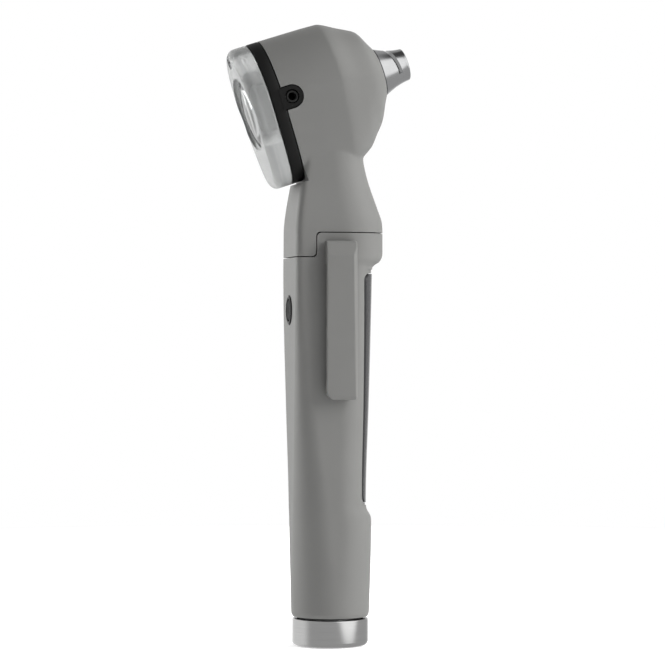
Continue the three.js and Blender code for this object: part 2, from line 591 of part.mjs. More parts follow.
const springPlate = () => disc(7.2, CAP.floor + 0.25, CAP.floor + 0.75, 24);

// Turned end cap: rounded foot, knurl-free rim and the hollow spigot that screws into the handle.
function endCap() {
  const edge = Array.from({ length: 4 }, (_, i) => {
    const a = (i / 3) * (Math.PI / 2);
    return [CAP.radius - CAP.edge * (1 - Math.sin(a)), CAP.edge * (1 - Math.cos(a))];
  });
  const { radius, height, spigot, spigotTop, bore, floor } = CAP;
  const rim = [[radius, height - 0.4], [radius - 0.4, height], [spigot - 0.3, height]];
  const thread = [[spigot - 0.3, 9.4], [spigot, 9.8], [spigot, spigotTop - 0.6], [spigot - 0.6, spigotTop]];
  const inside = [[bore, spigotTop], [bore, floor], [0, floor]];
  return turned([[0, 0], ...edge, ...rim, ...thread, ...inside], 28);
}

const capSeal = () => {
  const section = Array.from({ length: 7 }, (_, i) => {
    const a = (i / 6) * Math.PI * 2;
    return [9.9 + 0.45 * Math.cos(a), 8.65 + 0.3 * Math.sin(a)];
  });
  return turned(section, 24);
};

const threadInsert = () => tube(INSERT.outer, INSERT.inner, INSERT.bottom, INSERT.top, 24);

// ---------------------------------------------------------------- materials and assembly
const finish = (color, roughness, metalness = 0, extra = {}) => ({ color, roughness, metalness, ...extra });

const FINISHES = {
  greyPlastic: finish('#85857f', 0.5),
  blackPlastic: finish('#191a19', 0.55),
  clearPlastic: finish('#dfe3e2', 0.06, 0, { transparent: true, opacity: 0.35 }),
  glass: finish('#e6f0ef', 0.02, 0, { transparent: true, opacity: 0.3 }),
  chrome: finish('#d7d8da', 0.12, 1),
  turnedSteel: finish('#b4b5b3', 0.32, 1),
  steel: finish('#a9abad', 0.3, 1),
  brass: finish('#b5924c', 0.35, 1),
  rubber: finish('#1b1b1c', 0.85),
  glossInlay: finish('#2b2c2c', 0.18),
  aluminium: finish('#b9bbbd', 0.4, 1),
  board: finish('#1f4a30', 0.5),
  lampYellow: finish('#ead66a', 0.3),
  cellWrap: finish('#35393d', 0.4),
  leadInsulation: finish('#7c2420', 0.6),
};

function piece(name, geometry, look) {
  const mesh = new THREE.Mesh(geometry, new THREE.MeshStandardMaterial(FINISHES[look]));
  mesh.name = name;
  return mesh;
}

function buildHeadGroup() {
  const group = new THREE.Group();
  group.position.set(AXIS.x, 0, AXIS.z);
  group.rotation.y = -AXIS.tilt;
  group.add(piece('bezel_band', bezelBand(), 'blackPlastic'));
  group.add(piece('insufflation_port', portBush(), 'rubber'));
  group.add(piece('lens_seal', lensSeal(), 'rubber'));
  group.add(piece('lens_frame', lensFrame(), 'clearPlastic'));
  group.add(piece('magnifier_lens', magnifierLens(), 'glass'));
  group.add(piece('lens_pivot_screw', pivotScrew(), 'steel'));
  group.add(piece('nose_cone', noseCone(), 'chrome'));
  group.add(piece('nose_nut', noseNut(), 'aluminium'));
  group.add(piece('viewing_funnel', viewingFunnel(), 'blackPlastic'));
  return group;
}

function buildNeckGroup() {
  const group = new THREE.Group();
  group.add(piece('head_shell', headShell(), 'greyPlastic'));
  group.add(piece('light_guide', lightGuide(), 'clearPlastic'));
  group.add(piece('led_emitter', ledEmitter(), 'lampYellow'));
  group.add(piece('led_board', ledBoard(), 'board'));
  group.add(piece('led_holder', ledHolder(), 'aluminium'));
  group.add(piece('neck_chassis', neckChassis(), 'blackPlastic'));
  ['left', 'right'].forEach((side, i) => {
    group.add(piece(`chassis_screw_${side}`, chassisScrew(SCREW_SPOTS[i]), 'steel'));
    group.add(piece(`led_lead_${side}`, lead(i ? 1.4 : -1.4), 'leadInsulation'));
  });
  return group;
}

function buildHandleGroup() {
  const group = new THREE.Group();
  group.add(piece('handle_shell', handleShell(), 'greyPlastic'));
  group.add(piece('front_inlay', frontInlay(), 'glossInlay'));
  group.add(piece('clip_root', clipPart(CLIP.flex, CLIP.top + 1), 'greyPlastic'));
  group.add(piece('clip_blade', clipPart(CLIP.bottom - 1, CLIP.flex - GAP), 'greyPlastic'));
  CLIP_SCREWS.across.forEach((x, i) => group.add(piece(`clip_screw_${i + 1}`, clipScrew(x), 'steel')));
  group.add(piece('power_button', powerButton(), 'rubber'));
  group.add(piece('button_bezel', buttonBezel(), 'blackPlastic'));
  group.add(piece('tact_switch', tactSwitch(), 'blackPlastic'));
  group.add(piece('switch_plunger', switchPlunger(), 'steel'));
  group.add(piece('control_board', controlBoard(), 'board'));
  group.add(piece('battery_sleeve', batterySleeve(), 'blackPlastic'));
  ['lower', 'upper'].forEach((place, i) => {
    const cell = piece(`battery_${place}`, batteryCell(), 'cellWrap');
    cell.position.z = CELL.first + i * (CELL.length + GAP);
    group.add(cell);
  });
  group.add(piece('top_contact', topContact(), 'brass'));
  return group;
}

function buildCapGroup() {
  const group = new THREE.Group();
  group.add(piece('battery_spring', batterySpring(), 'steel'));
  group.add(piece('spring_plate', springPlate(), 'brass'));
  group.add(piece('end_cap', endCap(), 'turnedSteel'));
  group.add(piece('cap_seal', capSeal(), 'rubber'));
  group.add(piece('thread_insert', threadInsert(), 'aluminium'));
  return group;
}

const otoscope = new THREE.Group();
otoscope.name = 'otoscope';
otoscope.add(buildHeadGroup(), buildNeckGroup(), buildHandleGroup(), buildCapGroup());

export default otoscope;
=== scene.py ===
"""Pocket otoscope: fine meshes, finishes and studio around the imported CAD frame."""
import json
import math

import bmesh
import bpy
from bpy.props import FloatProperty, FloatVectorProperty, IntProperty, PointerProperty
from mathutils import Matrix, Vector


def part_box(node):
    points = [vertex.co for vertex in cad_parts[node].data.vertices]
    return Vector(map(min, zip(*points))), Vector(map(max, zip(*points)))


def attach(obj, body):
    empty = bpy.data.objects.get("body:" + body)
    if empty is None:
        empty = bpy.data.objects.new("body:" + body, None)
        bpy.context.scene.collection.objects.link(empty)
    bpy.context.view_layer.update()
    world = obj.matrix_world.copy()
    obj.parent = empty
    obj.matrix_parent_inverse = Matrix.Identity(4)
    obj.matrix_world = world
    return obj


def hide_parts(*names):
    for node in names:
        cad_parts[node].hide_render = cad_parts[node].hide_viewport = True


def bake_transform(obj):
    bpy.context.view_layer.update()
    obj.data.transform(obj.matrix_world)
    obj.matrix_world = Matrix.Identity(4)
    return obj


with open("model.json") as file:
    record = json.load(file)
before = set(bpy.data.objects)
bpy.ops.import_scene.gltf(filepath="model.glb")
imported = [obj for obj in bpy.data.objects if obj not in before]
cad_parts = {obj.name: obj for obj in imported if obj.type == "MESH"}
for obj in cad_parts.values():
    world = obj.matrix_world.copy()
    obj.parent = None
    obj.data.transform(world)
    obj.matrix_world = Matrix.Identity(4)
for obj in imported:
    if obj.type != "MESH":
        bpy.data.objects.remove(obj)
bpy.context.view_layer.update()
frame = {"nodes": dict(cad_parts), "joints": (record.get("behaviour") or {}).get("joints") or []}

bl_info = {
    "name": "Pocket otoscope",
    "version": (1, 0, 0),
    "blender": (4, 5, 0),
    "location": "View3D > Sidebar > Otoscope",
    "description": "Builds a battery otoscope with its head, nose cone, handle and studio",
    "category": "Add Mesh",
}

MM = 0.001  # metres in a millimetre; shapes are worked out in millimetres

# Places that the frame gives, in millimetres.
LENS_HINGE = next(j for j in frame["joints"] if j["name"] == "lens_swing")
TILT = math.atan2(LENS_HINGE["axis"][2], LENS_HINGE["axis"][0])
FACE_PIVOT = 16.6
SEAT = (LENS_HINGE["pos_m"][0] / MM + math.sin(TILT) * FACE_PIVOT,
        LENS_HINGE["pos_m"][2] / MM - math.cos(TILT) * FACE_PIVOT)
HEAD_PLACE = Matrix.Translation((SEAT[0], 0, SEAT[1])) @ Matrix.Rotation(-TILT, 4, "Y")
BUTTON_Z = sum(c[2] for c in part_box("power_button")) / 2 / MM
CLIP_LOW, CLIP_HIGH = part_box("clip_blade")[0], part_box("clip_root")[1]
CLIP_FLEX = next(j for j in frame["joints"] if j["name"] == "clip_flex")["pos_m"]
CAP_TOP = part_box("end_cap")[1][2] / MM
CAP_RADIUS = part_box("end_cap")[1][0] / MM

# Head: distances along the sight line from the nose seat, and the egg outline of the face.
FACE = {"top": 20.1, "bottom": 24.2, "half": 13.0, "middle": 2.0, "taper": 0.25, "corner": 4.5}
BAND = (-36.6, -33.1)
DRUM_REAR = -32.8
DRUM = [(DRUM_REAR, 20.1, 24.2, 13.0, 0.0), (-22, 20, 24.2, 13.1, 0.0), (-14.1, 19.75, 24.1, 13.08, 0.02),
        (-13.3, 19.5, 24.0, 12.95, 0.05), (-8.5, 16.9, 21.4, 11.55, 0.42), (-5.5, 15.35, 17.6, 10.75, 0.68),
        (-4.0, 14.5, 15.8, 10.3, 0.82), (-3.2, 13.8, 14.6, 10.0, 0.9), (-1.1, 9.8, 10.0, 8.9, 1.0),
        (0, 7.9, 7.9, 7.9, 1.0)]
DRUM_EDGE, DRUM_LEAN = -13.7, 0.1  # where the flat sides end, and how far that edge leans back at the foot
TAB = {"x": -30.3, "z": 0.9, "radius": 3.3, "port": 1.85}
TAB_DEPTH = 1.6
FRAME_BACK, FRAME_DEPTH, FRAME_SHRINK, FRAME_ROUND = -36.9, 6.3, 0.16, 2.6
LENS = {"radius": 11.1, "edge": 1.5, "rear": -39.9, "bulge": 1.3}
NOSE = {"base": 7.6, "tip": 4.95, "length": 9.0, "shank": 6.7}

# Grip: height, back, front, half width, back corner, front corner, lengthening of the front corner.
GRIP = [(8.8, -11.4, 11.4, 11.4, 11.3, 11.3, 1),
        (9.3, -11.75, 11.75, 11.75, 11.6, 11.6, 1), (10.2, -11.9, 11.9, 11.9, 11.8, 11.8, 1),
        (37.6, -12.1, 12.4, 12, 9.7, 11, 1), (38.9, -12.1, 12.3, 12, 9.6, 11, 1),
        (42.0, -12.15, 10.65, 12, 9.2, 10, 1), (43.2, -12.15, 10.55, 12, 9.1, 10, 1),
        (75, -12.4, 11.45, 12, 5.2, 9.8, 1), (105, -12.65, 12.2, 12, 2.4, 9.6, 1),
        (114.9, -12.6, 12.45, 12, 1.9, 9.6, 1), (115.6, -12.6, 13.0, 12, 1.9, 9.8, 1.05),
        (116.4, -12.6, 14.4, 12, 1.9, 10, 1.2), (117.6, -12.6, 15.4, 12, 1.9, 10, 1.3),
        (119.2, -12.6, 15.8, 12, 1.9, 10, 1.4), (127, -12.6, 15.8, 12, 1.9, 10, 1.4)]
NECK = [(118, -12.6, 15.8, 12, 1.9, 10, 1.4),
        (126.4, -12.55, 15.8, 12, 1.9, 10, 1.4), (128.4, -12.4, 15.65, 11.9, 1.8, 9.8, 1.4),
        (132.8, -11.9, 14.2, 11.4, 1.7, 9.2, 1.4), (138.6, -11.0, 12.1, 10.6, 1.7, 8.4, 1.4),
        (143.8, -10.05, 10.5, 10, 1.7, 7.6, 1.4), (147.8, -9.5, 9.75, 9.7, 1.7, 7.2, 1.4),
        (153, -9, 9.6, 9.5, 1.7, 7, 1.4)]
INLAY = {"low": 43.6, "high": 113.0, "low_half": 7.6, "high_half": 9.3, "corner": 2.2}
SEAM = {"low": 118, "high": 125.4, "x": -6.5, "round": 1.3}
POCKET = {"low": 42.6, "high": 114.4, "half": 10.85, "corner": 2.6, "depth": 0.3}
BORE = {"radius": 8.6, "top": 116.3}
FOOT = {"radius": 10.8, "top": 17.3}  # wider foot of the bore, for the threaded insert
CLIP = {"outer": -15.9, "inner": -14.2, "toe": 2.8, "edge": 0.9, "heel": 0.6}
CAP = {"height": 8.2, "edge": 1.4, "rim": 0.4, "neck": 8.9, "thread": 8.72, "bore": 8.0, "floor": 2.4}
GROOVE = {"half": 0.6, "clear": 0.12, "start": 0.56, "sweep": 0.7, "near": 4.0, "climb": 1.8}
GAP = 0.3  # clearance round pieces that sit in a hole
SIGHT = 10.4  # radius of the opening in the magnifier's frame

# Screws: head radius, head height, shank radius and length.
PIVOT_SCREW, CLIP_SCREW, CHASSIS_SCREW = (1.8, 1.2, 0.9, 8.3), (1.8, 0.8, 0.9, 3.3), (1.9, 1.7, 1.1, 12.7)
CLIP_SCREW_SPOTS = [(x, -10.6, 119.6) for x in (-1.7, 3.1)]
CHASSIS_SCREW_SPOTS = [(-8.4, y, 117.3) for y in (-5.2, 5.2)]

# Studio, in metres and watts. A softbox: place to the right, towards the camera and up, width, height, power.
SOFTBOXES = {"right_box": ((0.7, 0.12, 0.5), 0.6, 0.7, 12.5), "left_box": ((-0.7, -0.3, 0.2), 0.5, 1.0, 12.0),
             "top_box": ((0.1, 0.0, 1.0), 0.6, 0.6, 1.5), "rear_box": ((0.4, -0.9, 0.5), 0.6, 0.6, 3.0)}
# A patch of the room: degrees round from the camera and up, cosines where it starts and is full, brightness.
PATCHES = [(180, 0, 0.8, 0.985, 0.3), (0, 90, 0.8, 0.96, -0.34), (60, 25, 0.75, 0.88, 0.8),
           (-122, 0, 0.45, 0.87, 0.38)]
ROOM_LEVEL = 0.4  # brightness of the room between the patches
DIFFUSE_SHARE = 0.6  # share of the room's light that reaches matt surfaces
PAPER = {"radius": 520, "thick": 4.0, "drop": 0.2, "glow": 0.3}
CAMERA = {"lens": 150.7, "sensor": 36.0, "aside": 0.00076, "height": 0.0952, "light_aim": 0.1}


# ------------------------------------------------------------------ sizes and colours that a user would change
class OtoscopeFinish(bpy.types.PropertyGroup):
    """Colours and gloss of the outer pieces."""
    grey: FloatVectorProperty(name="Grey plastic", description="Colour of head, handle and clip",
                              subtype="COLOR", size=3, min=0, max=1, default=(0.142, 0.142, 0.137))
    grey_roughness: FloatProperty(name="Plastic roughness", description="How matt the grey plastic is",
                                  default=0.46, min=0, max=1, subtype="FACTOR")
    black: FloatVectorProperty(name="Black plastic", description="Colour of band, funnel and button surround",
                               subtype="COLOR", size=3, min=0, max=1, default=(0.006, 0.006, 0.0058))
    inlay: FloatVectorProperty(name="Front insert", description="Colour of the glossy insert in the handle",
                               subtype="COLOR", size=3, min=0, max=1, default=(0.03, 0.03, 0.031))
    texture_depth: FloatProperty(name="Texture depth", description="Height of the moulded grain",
                                 default=0.012 * MM, min=0, max=0.1 * MM, subtype="DISTANCE", unit="LENGTH")


class OtoscopeSizes(bpy.types.PropertyGroup):
    """Sizes that change how fine and how soft the shells are."""
    skin: FloatProperty(name="Shell mesh size", description="Spacing of the fine mesh on the moulded shells",
                        default=0.45 * MM, min=0.2 * MM, max=2 * MM, subtype="DISTANCE", unit="LENGTH")
    softening: IntProperty(name="Shell softening", description="Rounds of smoothing on the moulded shells",
                           default=5, min=0, max=30)
    thread_pitch: FloatProperty(name="Thread pitch", description="Rise of the end cap's thread in one turn",
                                default=1.25 * MM, min=0.5 * MM, max=3 * MM, subtype="DISTANCE", unit="LENGTH")
    spring_wire: FloatProperty(name="Spring wire", description="Diameter of the battery spring's wire",
                               default=0.8 * MM, min=0.2 * MM, max=2 * MM, subtype="DISTANCE", unit="LENGTH")
    camera_turn: FloatProperty(name="Camera turn", description="Angle of the camera round the handle",
                               default=math.radians(11.5), subtype="ANGLE", unit="ROTATION")
    camera_distance: FloatProperty(name="Camera distance", description="Distance from camera to handle",
                                   default=0.85, min=0.2, max=5, subtype="DISTANCE", unit="LENGTH")


def finish_settings():
    return bpy.context.scene.otoscope_finish


def size_settings():
    return bpy.context.scene.otoscope_sizes


# ------------------------------------------------------------------ shader maths
class Value:
    """A shader socket that can be used in arithmetic; each operator adds one Math node."""

    def __init__(self, shade, socket):
        self.shade = shade
        self.socket = socket

    def math(self, operation, first, second):
        return self.shade.node("ShaderNodeMath", {"operation": operation}, {0: first, 1: second})

    def __add__(self, other):
        return self.math("ADD", self, other)

    def __sub__(self, other):
        return self.math("SUBTRACT", self, other)

    def __mul__(self, other):
        return self.math("MULTIPLY", self, other)

    def clamped(self, low, high):
        return self.math("MINIMUM", self.math("MAXIMUM", self, low), high)


class Shade:
    """One material in the making: a Principled surface and the nodes that feed it."""

    def __init__(self, name, colour, roughness, metallic=0.0, **fixed):
        self.material = bpy.data.materials.new(name)
        self.material.use_nodes = True
        self.tree = self.material.node_tree
        self.surface = self.tree.nodes["Principled BSDF"]
        self.material.diffuse_color = (*colour, 1)
        self.give("Base Color", (*colour, 1))
        self.give("Roughness", roughness)
        self.give("Metallic", metallic)
        for socket, value in fixed.items():
            self.give(socket.replace("_", " "), value)

    def node(self, kind, settings=None, inputs=None, output=0):
        node = self.tree.nodes.new(kind)
        for key, value in (settings or {}).items():
            setattr(node, key, value)
        for key, value in (inputs or {}).items():
            self.link(node.inputs[key], value)
        return Value(self, node.outputs[output])

    def link(self, socket, value):
        if isinstance(value, Value):
            self.tree.links.new(value.socket, socket)
        else:
            socket.default_value = value

    def give(self, socket, value):
        self.link(self.surface.inputs[socket], value)

    def place(self):
        return self.node("ShaderNodeTexCoord", output="Object")

    def noise(self, scale, detail=3.0, roughness=0.5, where=None):
        where = where or self.place()
        inputs = {"Vector": where, "Scale": scale, "Detail": detail, "Roughness": roughness}
        return self.node("ShaderNodeTexNoise", {"noise_dimensions": "3D"}, inputs)

    def stretched(self, x, y, z):
        inputs = {"Vector": self.place(), "Scale": (x, y, z)}
        return self.node("ShaderNodeMapping", {"vector_type": "POINT"}, inputs)

    def mixed(self, factor, first, second):
        node = self.tree.nodes.new("ShaderNodeMix")
        node.data_type = "RGBA"
        self.link(node.inputs[0], factor)
        self.link(node.inputs[6], first)
        self.link(node.inputs[7], second)
        return Value(self, node.outputs[2])

    def bumped(self, height, distance, strength=1.0):
        inputs = {"Height": height, "Distance": distance, "Strength": strength}
        self.give("Normal", self.node("ShaderNodeBump", None, inputs))


def tint(colour, factor):
    return (*[min(1.0, c * factor) for c in colour[:3]], 1)


def moulded_grey():
    """Satin grey housing plastic: spark-eroded grain, faint flow mottling, edges polished by the hand."""
    look = finish_settings()
    colour = tuple(look.grey)
    shade = Shade("moulded_grey", colour, look.grey_roughness, Specular_IOR_Level=0.42)
    mottle = shade.noise(60, 4, 0.55)
    grain = shade.noise(5200, 2, 0.6)
    edge = shade.node("ShaderNodeNewGeometry", output="Pointiness")
    worn = ((edge - 0.52) * 9.0).clamped(0.0, 1.0)
    base = shade.mixed(mottle, tint(colour, 0.94), tint(colour, 1.06))
    shade.give("Base Color", shade.mixed(worn * 0.5, base, tint(colour, 1.22)))
    shade.give("Roughness", (grain * 0.12 + mottle * 0.08 + (look.grey_roughness - 0.1)) - worn * 0.1)
    shade.bumped(grain, look.texture_depth)
    return shade.material


def matt_black(name="matt_black", roughness=0.5):
    """Black moulded plastic with a fine, slightly greasy grain."""
    colour = tuple(finish_settings().black)
    shade = Shade(name, colour, roughness, Specular_IOR_Level=0.22)
    grain = shade.noise(3800, 3, 0.6)
    dust = shade.noise(240, 5, 0.6)
    shade.give("Base Color", shade.mixed((dust - 0.55).clamped(0, 1), (*colour, 1), tint(colour, 2.4)))
    shade.give("Roughness", grain * 0.14 + dust * 0.12 + (roughness - 0.12))
    shade.bumped(grain, 0.01 * MM)
    return shade.material


def grained(name, colour, roughness, pattern, low, high, gloss, depth, **fixed):
    """Finish whose colour, roughness and relief follow one fine pattern; gloss is (swing, least roughness)."""
    shade = Shade(name, colour, roughness, **fixed)
    grain = shade.noise(*pattern)
    shade.give("Base Color", shade.mixed(grain, (*low, 1), (*high, 1)))
    if gloss:
        shade.give("Roughness", grain * gloss[0] + gloss[1])
    shade.bumped(grain, depth * MM)
    return shade.material


def soft_rubber():
    """Seals and button cap: dull elastomer with a powdery bloom."""
    return grained("soft_rubber", (0.012, 0.012, 0.012), 0.6, (900, 5, 0.65), (0.008, 0.008, 0.008),
                   (0.02, 0.02, 0.02), (0.2, 0.5), 0.02, Specular_IOR_Level=0.2)


def gloss_insert():
    """Dark glossy insert with orange-peel moulding and light handling smears."""
    colour = tuple(finish_settings().inlay)
    shade = Shade("gloss_insert", colour, 0.16, Coat_Weight=0.35, Coat_Roughness=0.08)
    peel = shade.noise(420, 2, 0.4)
    smear = shade.noise(55, 6, 0.6, shade.stretched(1, 1, 0.35))
    shade.give("Base Color", shade.mixed(smear, tint(colour, 0.85), tint(colour, 1.2)))
    shade.give("Roughness", smear * 0.16 + 0.1)
    shade.bumped(peel, 0.015 * MM)
    return shade.material


def clear_acrylic(name="clear_acrylic", roughness=0.22):
    """Clear moulded acrylic with faint flow lines and a slightly frosted skin."""
    shade = Shade(name, (0.56, 0.57, 0.565), roughness, Transmission_Weight=0.7, IOR=1.49)
    flow = shade.noise(70, 3, 0.5, shade.stretched(1, 1, 0.4))
    shade.give("Roughness", flow * 0.05 + roughness)
    shade.bumped(flow, 0.02 * MM)
    return shade.material


def polished_glass():
    """Magnifier: polished glass with a barely visible wipe pattern."""
    shade = Shade("polished_glass", (0.74, 0.755, 0.75), 0.0, Transmission_Weight=1.0, IOR=1.52)
    wipe = shade.noise(90, 6, 0.6, shade.stretched(1, 3, 1))
    shade.give("Roughness", (wipe - 0.5).clamped(0, 1) * 0.05)
    return shade.material


def plated_chrome():
    """Bright plating over a turned body: sharp reflections, faint polishing haze."""
    shade = Shade("plated_chrome", (0.6, 0.605, 0.61), 0.16, 1.0)
    haze = shade.noise(160, 6, 0.6)
    fine = shade.noise(2400, 2, 0.5)
    shade.give("Base Color", shade.mixed(haze, (0.54, 0.545, 0.55, 1), (0.68, 0.685, 0.69, 1)))
    shade.give("Roughness", haze * 0.1 + 0.15)
    shade.bumped(fine, 0.0015 * MM)
    return shade.material


def turned_metal(name, colour, roughness, lines, depth):
    """Lathe-turned metal: fine rings about the handle's axis, with streaks in the sheen."""
    shade = Shade(name, colour, roughness, 1.0)
    rings = shade.noise(lines, 2, 0.7, shade.stretched(0.02, 0.02, 1))
    stain = shade.noise(110, 5, 0.6)
    shade.give("Base Color", shade.mixed(rings, tint(colour, 0.86), tint(colour, 1.1)))
    shade.give("Roughness", rings * 0.16 + stain * 0.08 + (roughness - 0.12))
    shade.bumped(rings, depth)
    return shade.material


def stamped_metal(name, colour, roughness):
    """Small bright metal parts: brushed, a little stained."""
    shade = Shade(name, colour, roughness, 1.0)
    brush = shade.noise(700, 3, 0.6, shade.stretched(1, 1, 0.1))
    shade.give("Base Color", shade.mixed(brush, tint(colour, 0.8), tint(colour, 1.15)))
    shade.give("Roughness", brush * 0.2 + (roughness - 0.1))
    shade.bumped(brush, 0.004 * MM)
    return shade.material


def solder_mask():
    """Circuit board: green mask with weave telegraphing through."""
    return grained("solder_mask", (0.012, 0.085, 0.035), 0.35, (1600, 2, 0.5), (0.01, 0.07, 0.03),
                   (0.02, 0.12, 0.05), (0.15, 0.28), 0.008, Coat_Weight=0.3)


def lamp_resin():
    """Clear resin over yellow phosphor."""
    return grained("lamp_resin", (0.86, 0.74, 0.22), 0.18, (1500, 3, 0.5), (0.82, 0.68, 0.16),
                   (0.9, 0.82, 0.35), None, 0.004, Coat_Weight=0.8)


def shrink_sleeve():
    """Battery wrap: dark film with a scuffed skin."""
    return grained("shrink_sleeve", (0.03, 0.034, 0.04), 0.3, (260, 6, 0.65), (0.02, 0.023, 0.028),
                   (0.06, 0.066, 0.075), (0.25, 0.18), 0.01, Coat_Weight=0.3)


def wire_insulation():
    """Red insulation of the two lamp leads."""
    return grained("wire_insulation", (0.23, 0.02, 0.015), 0.5, (1800, 3, 0.5), (0.2, 0.016, 0.012),
                   (0.28, 0.03, 0.02), None, 0.01)


def studio_paper():
    """Pale seamless paper for the floor."""
    shade = Shade("studio_paper", (0.93, 0.93, 0.93), 0.9, Specular_IOR_Level=0.1)
    fibre = shade.noise(140, 4, 0.6)
    shade.give("Base Color", shade.mixed(fibre, (0.92, 0.92, 0.92, 1), (0.95, 0.95, 0.95, 1)))
    shade.give("Emission Color", (1, 1, 1, 1))
    shade.give("Emission Strength", PAPER["glow"])
    return shade.material


def shared(maker):
    """A finish that several pieces have, made only once."""
    return bpy.data.materials.get(maker.__name__) or maker()


# ------------------------------------------------------------------ mesh making, in millimetres
def new_object(name, points, faces, place=None):
    mesh = bpy.data.meshes.new(name)
    mesh.from_pydata([Vector(p) for p in points], [], faces)
    if place:
        mesh.transform(place)
    mesh.transform(Matrix.Scale(MM, 4))
    mesh.update()
    obj = bpy.data.objects.new(name, mesh)
    bpy.context.scene.collection.objects.link(obj)
    return obj


def loft(name, rings, place=None):
    """Closed skin over rings of equally many points, given so that the skin faces outwards."""
    count = len(rings[0])
    points = [p for ring in rings for p in ring]
    faces = []
    for row in range(len(rings) - 1):
        for i in range(count):
            a, b = row * count + i, row * count + (i + 1) % count
            faces.append((a, b, b + count, a + count))
    last = (len(rings) - 1) * count
    faces.append(tuple(reversed(range(count))))
    faces.append(tuple(range(last, last + count)))
    return new_object(name, points, faces, place)


def lathe(name, profile, axis="Z", place=None, count=96):
    """Solid of revolution from (radius, height) pairs: from axis to axis, or closed on themselves."""
    closed = profile[0] == profile[-1]
    rows = profile[:-1] if closed else profile
    points, index = [], []
    for radius, height in rows:
        ring = 1 if radius == 0 else count
        index.append([len(points) + (i if ring > 1 else 0) for i in range(count)])
        for i in range(ring):
            angle = 2 * math.pi * i / count
            points.append((radius * math.cos(angle), radius * math.sin(angle), height))
    pairs = list(zip(index, index[1:])) + ([(index[-1], index[0])] if closed else [])
    faces = []
    for low, high in pairs:
        for i in range(count):
            j = (i + 1) % count
            corners = [low[i], low[j], high[j], high[i]]
            face = [c for k, c in enumerate(corners) if c != corners[k - 1]]
            if len(set(face)) > 2:
                faces.append(tuple(face))
    turn = {"Z": Matrix.Identity(4), "X": Matrix.Rotation(math.pi / 2, 4, "Y"),
            "-Y": Matrix.Rotation(math.pi / 2, 4, "X")}[axis]
    return new_object(name, points, faces, (place or Matrix.Identity(4)) @ turn)


def prism(name, outline, low, high, axis="Z", place=None):
    """Outline of (across, up) points, extruded along Z, X or Y between low and high."""
    def at(a, b, h):
        return {"Z": (a, b, h), "X": (h, a, b), "Y": (b, h, a)}[axis]
    rings = [[at(a, b, h) for a, b in outline] for h in (low, high)]
    return loft(name, rings, place)


def arc(cx, cy, radius, start, end, steps=10):
    """Points on an arc, angles in degrees."""
    angles = [math.radians(start + (end - start) * i / steps) for i in range(steps + 1)]
    return [(cx + radius * math.cos(a), cy + radius * math.sin(a)) for a in angles]


def rounded_box(x0, x1, y0, y1, r, steps=8):
    return (arc(x1 - r, y1 - r, r, 0, 90, steps) + arc(x0 + r, y1 - r, r, 90, 180, steps)
            + arc(x0 + r, y0 + r, r, 180, 270, steps) + arc(x1 - r, y0 + r, r, 270, 360, steps))


def between(rows, key):
    """Row of a station table at a place between its stations, on a smooth curve through them."""
    i = max(0, min(len(rows) - 2, sum(1 for row in rows[1:-1] if row[0] <= key)))
    low, high = rows[i], rows[i + 1]
    share = (key - low[0]) / (high[0] - low[0])
    before, after = rows[max(i - 1, 0)], rows[min(i + 2, len(rows) - 1)]
    result = [key]
    for k in range(1, len(low)):
        span = high[0] - low[0]
        secant = (high[k] - low[k]) / span
        rise = (low[k] - before[k]) / (low[0] - before[0]) if i > 0 else secant
        fall = (after[k] - high[k]) / (after[0] - high[0]) if i < len(rows) - 2 else secant
        start = 0.0 if rise * secant <= 0 else 2 * rise * secant / (rise + secant)
        end = 0.0 if fall * secant <= 0 else 2 * fall * secant / (fall + secant)
        s, q = share, share * share
        value = ((2 * s - 3) * q + 1) * low[k] + (s - 2 + 1 / s) * q * span * start if s > 0 else low[k]
        if s > 0:
            value += (3 - 2 * s) * q * high[k] + (s - 1) * q * span * end
        result.append(value)
    return result


def steps_between(low, high, spacing):
    count = max(1, round((high - low) / spacing))
    return [low + (high - low) * i / count for i in range(count + 1)]


def resampled(outline, count):
    """Closed outline with evenly spaced points."""
    loop = [Vector(p) for p in outline] + [Vector(outline[0])]
    lengths = [(b - a).length for a, b in zip(loop, loop[1:])]
    total, result, k, run = sum(lengths), [], 0, 0.0
    for i in range(count):
        goal = total * i / count
        while k < len(lengths) - 1 and run + lengths[k] < goal:
            run += lengths[k]
            k += 1
        result.append(loop[k].lerp(loop[k + 1], (goal - run) / max(lengths[k], 1e-9)))
    return result


def grip_ring(row, inset=0.0, corner_steps=16):
    """Section of grip or neck: flat back, gently crowned sides, round front."""
    z, back, front, half, rb, rf, longer = row
    rb, rf, half = max(rb - inset, 0.4), max(rf - inset, 0.4), half - inset
    ahead, behind = front - inset - rf * longer, back + inset + rb
    corners = [(ahead, half - rf, rf, 0, longer), (behind, half - rb, rb, 90, 1),
               (behind, rb - half, rb, 180, 1), (ahead, rf - half, rf, 270, longer)]
    points = [(cx + x * stretch, cy + y) for cx, cy, r, start, stretch in corners
              for x, y in arc(0, 0, r, start, start + 90, corner_steps)]
    return [(x, y, z) for x, y in resampled(points, 144)]


